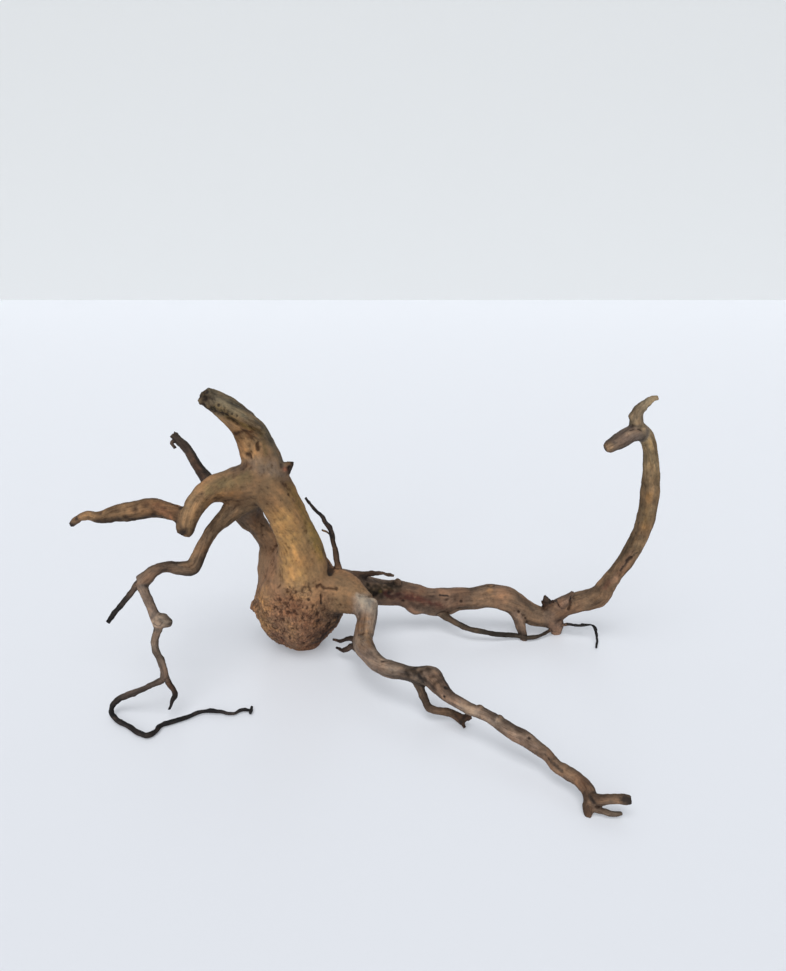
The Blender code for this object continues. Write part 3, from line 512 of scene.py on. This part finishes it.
# The skin is one piece, as the wood is: the thick limbs grow together in fine cells and are smoothed, which
# rounds the crotches, and each rootlet is then joined on. Five shallow flutes wind along every thick limb.
WELD = 0.01
CELL = 1.08
CROTCH_PASSES = 9
BROAD_PASSES = 220
BROAD_FLOWS = ((-30, -8, 172, 56), (0, -4, 84, 48), (40, -8, 60, 42), (-44, 8, 144, 30), (-30, 8, 82, 34))
STUB_TIP = (-1, -16, 190)
STUB_REACH = 20
FLUTES = 5
FLUTE_DEPTH = 0.045
OVAL = 1.3
OVAL_TURN = 0.7
WIND = 0.16


def tube(stations, rings, sides=None):
    """A closed tube along the stations, round if it is given a number of sides, and fluted if not."""
    curve = bpy.data.curves.new("heart", "CURVE")
    curve.dimensions = "3D"
    curve.resolution_u = rings
    curve.use_fill_caps = True
    if sides:
        curve.bevel_depth = MM
        curve.bevel_resolution = sides // 2 - 2
    else:
        curve.bevel_mode = "OBJECT"
        curve.bevel_object = fluted
    spline = curve.splines.new("BEZIER")
    spline.radius_interpolation = "CARDINAL"
    spline.bezier_points.add(len(stations) - 1)
    for index, (point, station) in enumerate(zip(spline.bezier_points, stations)):
        point.co = Vector(station[:3]) * MM
        point.radius = station[3]
        point.tilt = WIND * index
        point.handle_left_type = "AUTO"
        point.handle_right_type = "AUTO"
    return settled(bpy.data.objects.new("heart", curve))


def settled(obj):
    """The mesh of an object with its curve or modifiers worked in, and the object itself put away."""
    bpy.context.scene.collection.objects.link(obj)
    bpy.context.view_layer.update()
    mesh = bpy.data.meshes.new_from_object(obj.evaluated_get(bpy.context.evaluated_depsgraph_get()))
    bpy.data.objects.remove(obj)
    return mesh


def welded(meshes):
    """One mesh of several, with their doubled points merged and their faces turned out."""
    shell = bmesh.new()
    for mesh in meshes:
        shell.from_mesh(mesh)
    bmesh.ops.remove_doubles(shell, verts=shell.verts, dist=WELD * MM)
    bmesh.ops.recalc_face_normals(shell, faces=shell.faces)
    mesh = bpy.data.meshes.new("shell")
    shell.to_mesh(mesh)
    shell.free()
    return mesh


outline = bpy.data.curves.new("fluted outline", "CURVE")
outline.dimensions = "2D"
edge = outline.splines.new("POLY")
edge.points.add(8 * FLUTES - 1)
for index, point in enumerate(edge.points):
    angle = math.tau * index / (8 * FLUTES)
    reach = MM * (1 + FLUTE_DEPTH * (math.cos(FLUTES * angle) + OVAL * math.cos(2 * angle + OVAL_TURN)))
    point.co = (reach * math.cos(angle), reach * math.sin(angle), 0, 1)
edge.use_cyclic_u = True
fluted = bpy.data.objects.new("fluted outline", outline)

skin = bpy.data.objects.new("skin", welded([tube(limb["stations"], rings=6) for limb in thick_limbs]))
bpy.data.objects.remove(fluted)
remesh = skin.modifiers.new("grow together", "REMESH")
remesh.mode = "VOXEL"
remesh.voxel_size = CELL * MM
rounding = skin.modifiers.new("round the crotches", "SMOOTH")
rounding.factor = 0.5
rounding.iterations = CROTCH_PASSES
root = bpy.data.objects.new("root_wood", settled(skin))
broad = root.vertex_groups.new(name="broad")
for vertex in root.data.vertices:
    flow = 0.0
    for x, y, z, reach in BROAD_FLOWS:
        flow = max(flow, 1 - math.dist(vertex.co / MM, (x, y, z)) / reach)
    flow = flow * flow * (3 - 2 * flow) * min(1.0, math.dist(vertex.co / MM, STUB_TIP) / STUB_REACH) ** 2
    if flow > 0:
        broad.add([vertex.index], flow, "REPLACE")
flowing = root.modifiers.new("flow together", "SMOOTH")
flowing.factor = 0.5
flowing.iterations = BROAD_PASSES
flowing.vertex_group = broad.name
root = bpy.data.objects.new("root_wood", settled(root))
grafts = []
for limb in rootlets:
    graft = bpy.data.objects.new("graft", welded([tube(limb["stations"], rings=5, sides=10)]))
    bpy.context.scene.collection.objects.link(graft)
    grafts.append(graft)
    join = root.modifiers.new("join", "BOOLEAN")
    join.operation = "UNION"
    join.solver = "MANIFOLD"
    join.object = graft
root = bpy.data.objects.new("root_wood", settled(root))
for graft in grafts:
    bpy.data.objects.remove(graft)

# Weather has worked on the bare wood: it has opened the grain along each limb, crumbled the burl, and left
# pits, cracks and ridges. Everything here moves the skin along its own normals.
HEART_STEP = 2.5
SKEW = (0.31, 0.87, 0.39)
GRAIN_TURN = 0.012
GRAIN_APART = 300.0
FLOW_SIZE = (6.5, 6.5, 52.0)
FIBRE_SIZE = (2.4, 2.4, 24.0)
BLEND = 9.0
ROOM = 1.4
REACH_OUT = 9.0
FAR_OFF = 99.0
WANDER_REACH = 9
CRUMB_TOP = 74
CRUMB_FADE = 16
STOUT_RADIUS = 9
GROUND_FADE = 5
LATTICE = np.array([374761393, 668265263, 1274126177])


def ripple(places, seed):
    """Smooth noise of about -1 to 1, with its swells one unit apart."""
    cell = np.floor(places).astype(np.int64)
    inside = places - cell
    ease = inside ** 3 * (inside * (inside * 6 - 15) + 10)
    total = np.zeros(len(places))
    for corner in np.ndindex(2, 2, 2):
        key = (cell + corner) @ LATTICE + seed * 7919
        key = (key ^ (key >> 13)) * 1103515245
        key ^= key >> 16
        slope = np.stack([(key >> shift & 255) / 127.5 - 1 for shift in (3, 11, 19)], axis=1)
        share = np.prod(np.where(corner, ease, 1 - ease), axis=1)
        total += share * np.einsum("ij,ij->i", slope, inside - corner)
    return total * 1.5


def swells(places, height, size, seed):
    """Unevenness in millimetres, from the height and size of its swells."""
    return height * ripple(places / size, seed)


def heart(stations):
    """Close, even samples along a limb: places, radii, lengths, and the directions ahead and across."""
    chord = np.linalg.norm(np.diff(stations[:, :3], axis=0), axis=1)
    knots = np.concatenate([[0], np.cumsum(chord)])
    slopes = np.gradient(stations, knots, axis=0)
    lengths = np.linspace(0, knots[-1], max(4, int(knots[-1] / HEART_STEP)))
    left = np.clip(np.searchsorted(knots, lengths, side="right") - 1, 0, len(knots) - 2)
    span = (knots[left + 1] - knots[left])[:, None]
    t = (lengths - knots[left])[:, None] / span
    line = (
        (1 + 2 * t) * (1 - t) ** 2 * stations[left] + t * (1 - t) ** 2 * span * slopes[left]
        + t * t * (3 - 2 * t) * stations[left + 1] + t * t * (t - 1) * span * slopes[left + 1]
    )
    ahead = np.gradient(line[:, :3], axis=0)
    ahead /= np.linalg.norm(ahead, axis=1)[:, None]
    across = np.cross(ahead[0], SKEW)
    sideways = []
    for direction in ahead:
        across = across - direction * (across @ direction)
        across = across / np.linalg.norm(across)
        sideways.append(across)
    return line[:, :3], line[:, 3], lengths, ahead, np.array(sideways)


for limb in thick_limbs + rootlets:
    limb["heart"] = heart(limb["stations"])


def read_limbs(places):
    """For each place on the skin: how much it belongs to each limb near it, and where it lies along and
    round that limb. Gives the blended colour, crumble, radius and grain, and the surest limb's place."""
    count = len(places)
    found = []
    closest = np.full(count, FAR_OFF)
    for limb in thick_limbs + rootlets:
        line, radii, lengths, ahead, sideways = limb["heart"]
        room = radii.max() * ROOM + REACH_OUT
        near = np.all((places > line.min(0) - room) & (places < line.max(0) + room), axis=1).nonzero()[0]
        if len(near) == 0:
            continue
        here = places[near]
        square = (here ** 2).sum(1)[:, None] - 2 * here @ line.T + (line ** 2).sum(1)[None]
        ratio = np.sqrt(np.maximum(square, 0)) / radii[None]
        best = ratio.argmin(1)
        how_far = ratio[np.arange(len(near)), best]
        offset = here - line[best]
        ahead_by = (offset * ahead[best]).sum(1)
        along = lengths[best] + ahead_by
        u = (offset * sideways[best]).sum(1)
        v = (offset * np.cross(ahead[best], sideways[best])).sum(1)
        turn = GRAIN_TURN * along
        turned = (u * np.cos(turn) - v * np.sin(turn), u * np.sin(turn) + v * np.cos(turn))
        grain = np.stack([*turned, along], 1)
        np.minimum.at(closest, near, how_far)
        found.append((limb, near, how_far, grain, radii[best], lengths[-1]))
    total = np.zeros(count)
    reading = {name: np.zeros(count) for name in ("crumb", "radius", "flow", "fibre", "surest")}
    reading |= {name: np.zeros((count, 3)) for name in ("colour", "grain")}
    for order, (limb, near, how_far, grain, radius, length) in enumerate(found):
        weight = np.exp(-BLEND * (how_far - closest[near]))
        part = np.clip(grain[:, 2] / length, 0, 1)[:, None]
        total[near] += weight
        reading["colour"][near] += weight[:, None] * (limb["near"] * (1 - part) + limb["far"] * part)
        reading["crumb"][near] += weight * limb["crumb"]
        reading["radius"][near] += weight * radius
        reading["flow"][near] += weight * ripple(grain / FLOW_SIZE, 11 + order)
        reading["fibre"][near] += weight * ripple(grain / FIBRE_SIZE, 71 + order)
        surer = weight > reading["surest"][near]
        reading["grain"][near[surer]] = grain[surer] + (0, 0, GRAIN_APART * order)
        reading["surest"][near] = np.maximum(reading["surest"][near], weight)
    for name in set(reading) - {"grain"}:
        reading[name] = (reading[name].T / total).T
    return reading


def wandering(places):
    """How far each place is out of true to a mark, so that the marks have uneven edges."""
    return np.stack([swells(places, 1.5, 4.5, seed) for seed in (41, 42, 43)], axis=1)


def scar_strength(places, wander, mark):
    """How strongly a mark is felt at each place, from its middle line out to its reach."""
    line = mark["places"]
    places = places + wander * min(1.0, mark["reach"] / WANDER_REACH)
    away = np.linalg.norm(places - line[0], axis=1)
    for start, end in zip(line[:-1], line[1:]):
        step = end - start
        part = np.clip((places - start) @ step / (step @ step), 0, 1)
        away = np.minimum(away, np.linalg.norm(places - start - part[:, None] * step, axis=1))
    near = np.clip(1 - away / mark["reach"], 0, 1)
    return near * near * (3 - 2 * near)


def crumble(places, wander, reading):
    """How crumbly the skin is at each place: the burl up to a ragged edge where the smooth wood runs down,
    and the broken ends."""
    ragged = CRUMB_TOP + swells(places, 12, 13, seed=3) + swells(places, 6, 5, seed=4)
    crumb = reading["crumb"] * np.clip((ragged - places[:, 2]) / CRUMB_FADE, 0, 1)
    for end in broken_ends:
        crumb = np.maximum(crumb, np.clip(1.6 * scar_strength(places, wander, end), 0, 1))
    return crumb


def point_rows(mesh, kind):
    """The places ("co") or outward directions ("normal") of the mesh's points, as rows."""
    flat = np.empty(3 * len(mesh.vertices))
    mesh.vertices.foreach_get(kind, flat)
    return flat.reshape(-1, 3)


places = point_rows(root.data, "co") / MM
reading = read_limbs(places)
wander = wandering(places)
crumb = crumble(places, wander, reading)
smooth_wood = 1 - crumb
stout = np.clip(reading["radius"] / STOUT_RADIUS, 0.15, 1)
knotted = np.clip(1.4 - reading["radius"] / 5, 0, 1)
dimples = np.clip(ripple(places / 7, 6) - 0.50, 0, 1)
granules = np.abs(swells(places, 1.5, (3.6, 3.6, 4.6), 21)) + np.abs(swells(places, 1.0, 2.2, 22)) - 0.7
lift = smooth_wood * stout * (0.50 * reading["flow"] + 0.22 * reading["fibre"])
lift += smooth_wood * stout * (swells(places, 0.9, 13, 5) + swells(places, 0.35, 6, 8))
lift -= stout * 1.2 * dimples
lift += swells(places, 0.12, 2.2, 7)
lift += knotted * (swells(places, 1.0, 6.5, 9) + swells(places, 0.5, 3.0, 10))
lift += crumb * (0.7 * granules + swells(places, 1.1, 11, 23) + swells(places, 0.5, 5.5, 24))
for mark in scars:
    lift += mark["lift"] * scar_strength(places, wander, mark)
lift *= np.clip(places[:, 2] / GROUND_FADE, 0, 1)
moved = places + point_rows(root.data, "normal") * lift[:, None]
low, high = np.array(solid_box) / MM
moved = np.clip(moved, low, high)
root.data.vertices.foreach_set("co", (moved * MM).ravel())

SKIN_TRIANGLES = 196000
wear = root.modifiers.new("thin out", "DECIMATE")
wear.ratio = SKIN_TRIANGLES / sum(len(face.vertices) - 2 for face in root.data.polygons)
mesh = settled(root)
shell = bmesh.new()
shell.from_mesh(mesh)
bmesh.ops.triangulate(shell, faces=shell.faces)
bmesh.ops.recalc_face_normals(shell, faces=shell.faces)
for face in shell.faces:
    face.smooth = True
shell.to_mesh(mesh)
shell.free()
root = bpy.data.objects.new("root_wood", mesh)
bpy.context.scene.collection.objects.link(root)

# The colour of the wood is laid on point by point: each limb's own brown, the bare and stained patches, and
# painted shade wherever the skin is hollow, with painted light where it stands out. Painted shade also
# darkens the undersides, the backs and the sides of slim limbs. The material adds the grain's streaks,
# blotches, pores and fine roughness.
# Painted shade: how much darker the undersides and backs are, and the sides of slim limbs.
PAINTED_SHADE_BELOW_AND_BEHIND = 0.42
PAINTED_EDGE_SHADE = 0.5
SOIL = (0.020, 0.015, 0.013)
SOIL_COVER = 0.92


def keep(mesh, name, values, kind):
    """Keeps a value for each point of the mesh under a name that the material reads."""
    layer = mesh.attributes.new(name, kind, "POINT")
    key = {"FLOAT": "value", "FLOAT_VECTOR": "vector", "FLOAT_COLOR": "color"}[kind]
    layer.data.foreach_set(key, np.ascontiguousarray(values, dtype=np.float32).ravel())


def hollows(mesh, passes):
    """How far each point lies below the skin round it, in millimetres, as that skin looks when smoothed."""
    ends = np.empty(2 * len(mesh.edges), dtype=np.int64)
    mesh.edges.foreach_get("vertices", ends)
    one, other = ends.reshape(-1, 2).T
    start = point_rows(mesh, "co") / MM
    shape = start.copy()
    ties = np.bincount(ends, minlength=len(shape))[:, None]
    for _ in range(passes):
        total = np.empty_like(shape)
        for axis in range(3):
            total[:, axis] = (np.bincount(one, shape[other, axis], len(shape))
                              + np.bincount(other, shape[one, axis], len(shape)))
        shape = total / ties
    return ((shape - start) * point_rows(mesh, "normal")).sum(1)


places = point_rows(mesh, "co") / MM
reading = read_limbs(places)
wander = wandering(places)
crumb = crumble(places, wander, reading)
small_hollow = hollows(mesh, passes=2)
wide_hollow = hollows(mesh, passes=14)
colour = reading["colour"]
stain = np.zeros(len(places))
for mark in scars:
    strength = scar_strength(places, wander, mark)
    stain = np.maximum(stain, mark["stain"] * strength)
    if mark["colour"] is not None:
        share = np.clip(strength * (1 + swells(places, 0.9, 4, 31)), 0, 1)[:, None] * mark["cover"]
        colour = colour * (1 - share) + mark["colour"] * share
facing = point_rows(mesh, "normal")
# Painted shade: points that face down or away from the front are darkened, and the sides of slim limbs more.
painted_shade_below_and_behind = np.clip(0.9 * facing[:, 1] + 0.30, 0, 1) + np.clip(-0.9 * facing[:, 2] - 0.10, 0, 1)
slim = np.clip(1.7 - reading["radius"] / STOUT_RADIUS, 0.2, 1)
painted_edge_shade = slim * np.clip(1.05 + 1.15 * facing[:, 1], 0, 1)
colour = colour * (1 - np.maximum(PAINTED_SHADE_BELOW_AND_BEHIND * np.clip(painted_shade_below_and_behind, 0, 1), PAINTED_EDGE_SHADE * painted_edge_shade))[:, None]
keep(mesh, "wood colour", np.column_stack([colour, np.ones(len(places))]), "FLOAT_COLOR")
keep(mesh, "grain place", reading["grain"] * MM, "FLOAT_VECTOR")
keep(mesh, "grain sure", np.clip(reading["surest"] * 2.2 - 1.1, 0, 1), "FLOAT")
keep(mesh, "crumb", crumb, "FLOAT")
keep(mesh, "mottle", np.clip(1.5 - reading["radius"] / 13, 0.3, 1.0), "FLOAT")
keep(mesh, "stain", stain, "FLOAT")
# Painted shade and light: the hollow value is high in dips of the skin and low where it stands out.
keep(mesh, "hollow", np.clip(0.55 + 1.6 * small_hollow + 0.32 * wide_hollow, 0, 1), "FLOAT")

wood = bpy.data.materials.new("peeled root wood")
wood.use_nodes = True
tree = wood.node_tree
shader = tree.nodes["Principled BSDF"]


def feed(socket, value):
    """Gives an input a value, or the result of another step."""
    if isinstance(value, bpy.types.NodeSocket):
        tree.links.new(value, socket)
    else:
        socket.default_value = (*value, 1) if socket.type == "RGBA" else value


def step(kind, inputs=None, **settings):
    """Adds a step to the wood's finish, with its settings and inputs."""
    made = tree.nodes.new(kind)
    for name, value in settings.items():
        setattr(made, name, value)
    for name, value in (inputs or {}).items():
        feed(made.inputs[name], value)
    return made


def reading_of(name, result="Fac"):
    """What was kept for each point of the mesh under a name."""
    return step("ShaderNodeAttribute", attribute_name=name).outputs[result]


def sums(operation, first, second=0.0, third=0.0):
    """The result of one operation on two or three values."""
    return step("ShaderNodeMath", {0: first, 1: second, 2: third}, operation=operation).outputs[0]


def times(first, second):
    return sums("MULTIPLY", first, second)


def stretch(low, high, value):
    """Nothing at low, one at high, and an even slope between, also where low is the larger."""
    return step("ShaderNodeMapRange", {"Value": value, "From Min": low, "From Max": high}).outputs["Result"]


def speckle(vector, scale, detail=3.0, rough=0.55):
    """Noise of 0 to 1, with this many swells to a metre."""
    inputs = {"Vector": vector, "Scale": scale, "Detail": detail, "Roughness": rough}
    return step("ShaderNodeTexNoise", inputs).outputs["Fac"]


def stretched(vector, scale):
    return step("ShaderNodeVectorMath", {0: vector, 1: scale}, operation="MULTIPLY").outputs[0]


def over(share, under, top, blend="MIX"):
    """A share of one colour laid over another."""
    made = step("ShaderNodeMix", {"Factor": share}, data_type="RGBA", blend_type=blend)
    first, second, result = (s for s in (*made.inputs, *made.outputs) if s.type == "RGBA")
    feed(first, under)
    feed(second, top)
    return result


here = step("ShaderNodeTexCoord").outputs["Object"]
grain_place = reading_of("grain place", "Vector")
long_place = stretched(grain_place, (1.0, 1.0, 0.09))
drawn_place = stretched(grain_place, (1.0, 1.0, 0.45))
fibrous = stretched(here, (1.0, 1.0, 0.6))
sure = reading_of("grain sure")
crumb_share = reading_of("crumb")
hollow_shade_and_ridge_light = reading_of("hollow")
stain_share = reading_of("stain")
mottle = reading_of("mottle")
streak = speckle(long_place, 300.0, 4.0, 0.6)
hair = speckle(long_place, 1100.0, 3.0, 0.65)
drawn_blotch = speckle(drawn_place, 75.0, 4.0, 0.62)
round_blotch = speckle(here, 75.0, 4.0, 0.62)
blotch = sums("MULTIPLY_ADD", sure, sums("SUBTRACT", drawn_blotch, round_blotch), round_blotch)
cloud = speckle(here, 34.0, 2.0, 0.5)
grit = speckle(here, 420.0, 4.0, 0.7)
crumbs = speckle(fibrous, 380.0, 4.0, 0.7)
patches = speckle(here, 80.0, 3.0, 0.6)
pores = step("ShaderNodeTexVoronoi", {"Vector": here, "Scale": 330.0}, feature="F1").outputs["Distance"]
grain_share = times(times(sure, mottle), sums("SUBTRACT", 1.0, crumb_share))

paint = reading_of("wood colour", "Color")
for share, tint in (
    (times(stretch(0.47, 0.66, blotch), mottle), (0.43, 0.41, 0.40)),
    (times(stretch(0.51, 0.32, blotch), mottle), (1.65, 1.52, 1.35)),
    (stretch(0.42, 0.62, cloud), (1.05, 0.96, 0.93)),
    (times(stretch(0.52, 0.72, streak), grain_share), (0.56, 0.52, 0.50)),
    (times(stretch(0.47, 0.30, streak), grain_share), (1.30, 1.24, 1.15)),
    (times(stretch(0.54, 0.72, hair), grain_share), (0.52, 0.48, 0.46)),
    (times(stretch(0.54, 0.74, grit), 0.7), (0.46, 0.41, 0.39)),
    (times(stretch(0.46, 0.28, grit), sums("MULTIPLY_ADD", crumb_share, 0.4, 0.3)), (1.60, 1.50, 1.34)),
    (times(stretch(0.50, 0.66, patches), crumb_share), (0.74, 0.66, 0.64)),
    (times(stretch(0.48, 0.34, patches), crumb_share), (1.18, 1.14, 0.98)),
    (times(stretch(0.50, 0.68, crumbs), crumb_share), (0.40, 0.33, 0.32)),
    (times(stretch(0.48, 0.30, crumbs), crumb_share), (1.45, 1.38, 1.26)),
    # Painted shade in the hollows of the skin, and painted light where it stands out.
    (stretch(0.60, 1.0, hollow_shade_and_ridge_light), (0.36, 0.31, 0.29)),
    (stretch(0.50, 0.10, hollow_shade_and_ridge_light), (1.35, 1.28, 1.20)),
):
    paint = over(share, paint, tint, "MULTIPLY")
soiled = sums("ADD", stain_share, sums("MULTIPLY_ADD", grit, 0.5, -0.25))
paint = over(times(stretch(0.25, 0.85, soiled), SOIL_COVER), paint, SOIL)
feed(shader.inputs["Base Color"], paint)
feed(shader.inputs["Roughness"], sums("MULTIPLY_ADD", grit, 0.25, 0.62))
feed(shader.inputs["Specular IOR Level"], 0.18)

relief = sums("MULTIPLY_ADD", streak, grain_share, times(times(hair, grain_share), 0.6))
relief = sums("ADD", relief, times(grit, sums("MULTIPLY_ADD", crumb_share, 1.4, 0.35)))
relief = sums("ADD", relief, times(stretch(0.0, 0.45, pores), times(crumb_share, 0.6)))
bump = step("ShaderNodeBump", {"Strength": 0.75, "Distance": 0.0011, "Height": relief})
feed(shader.inputs["Normal"], bump.outputs["Normal"])

mesh.materials.clear()
mesh.materials.append(wood)
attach(root, "root")
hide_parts("root")

# The stage is a pale glossy floor against a pale wall, lit softly from above as by a cloudy sky, and more
# weakly from the room in front.
FLOOR_SIDE = 9.0
WALL_Y = 3.19
WALL_HEIGHT = 4.0


def stage_sheet(name, corners, colour, roughness, glow):
    """A flat sheet of the setting, with a soft glow of its own."""
    shape = bmesh.new()
    shape.faces.new([shape.verts.new(corner) for corner in corners])
    sheet_mesh = bpy.data.meshes.new(name)
    shape.to_mesh(sheet_mesh)
    shape.free()
    material = bpy.data.materials.new(name)
    material.use_nodes = True
    finish = material.node_tree.nodes["Principled BSDF"]
    finish.inputs["Base Color"].default_value = (*colour, 1)
    finish.inputs["Roughness"].default_value = roughness
    finish.inputs["Emission Color"].default_value = (*colour, 1)
    finish.inputs["Emission Strength"].default_value = glow
    sheet_mesh.materials.append(material)
    sheet = bpy.data.objects.new(name, sheet_mesh)
    bpy.context.scene.collection.objects.link(sheet)


half = FLOOR_SIDE / 2
stage_sheet("floor", ((-half, -half, 0), (half, -half, 0), (half, WALL_Y, 0), (-half, WALL_Y, 0)),
            (0.50, 0.52, 0.56), 0.36, 0.42)
stage_sheet("wall", ((-half, WALL_Y, 0), (half, WALL_Y, 0), (half, WALL_Y, WALL_HEIGHT),
                     (-half, WALL_Y, WALL_HEIGHT)), (0.665, 0.685, 0.70), 0.9, 0.05)

world = bpy.data.worlds.new("cloudy sky")
world.use_nodes = True
world.node_tree.nodes["Background"].inputs["Color"].default_value = (0.95, 0.975, 1.0, 1)
world.node_tree.nodes["Background"].inputs["Strength"].default_value = 0.42
bpy.context.scene.world = world

for name, energy, spread, direction in (
    ("daylight", 1.8, 50, (-0.10, -0.32, 0.94)),
    ("room", 1.1, 40, (-0.22, -0.90, 0.34)),
):
    light = bpy.data.lights.new(name, "SUN")
    light.energy = energy
    light.color = (1.0, 0.985, 0.96)
    light.angle = math.radians(spread)
    sun = bpy.data.objects.new(name, light)
    sun.rotation_euler = Vector(direction).to_track_quat("Z", "Y").to_euler()
    bpy.context.scene.collection.objects.link(sun)

CAMERA_PLACE = (0.088, -0.699, 0.405)
CAMERA_DOWN = 19.0
FRAME_HEIGHT = 971
FOCAL_PIXELS = 800.0
eye = bpy.data.cameras.new("camera")
eye.sensor_fit = "VERTICAL"
eye.sensor_height = 36.0
eye.lens = 36.0 * FOCAL_PIXELS / FRAME_HEIGHT
camera = bpy.data.objects.new("camera", eye)
camera.location = CAMERA_PLACE
camera.rotation_euler = (math.radians(90 - CAMERA_DOWN), 0, 0)
bpy.context.scene.collection.objects.link(camera)
bpy.context.scene.camera = camera
bpy.context.scene.view_settings.view_transform = "Standard"
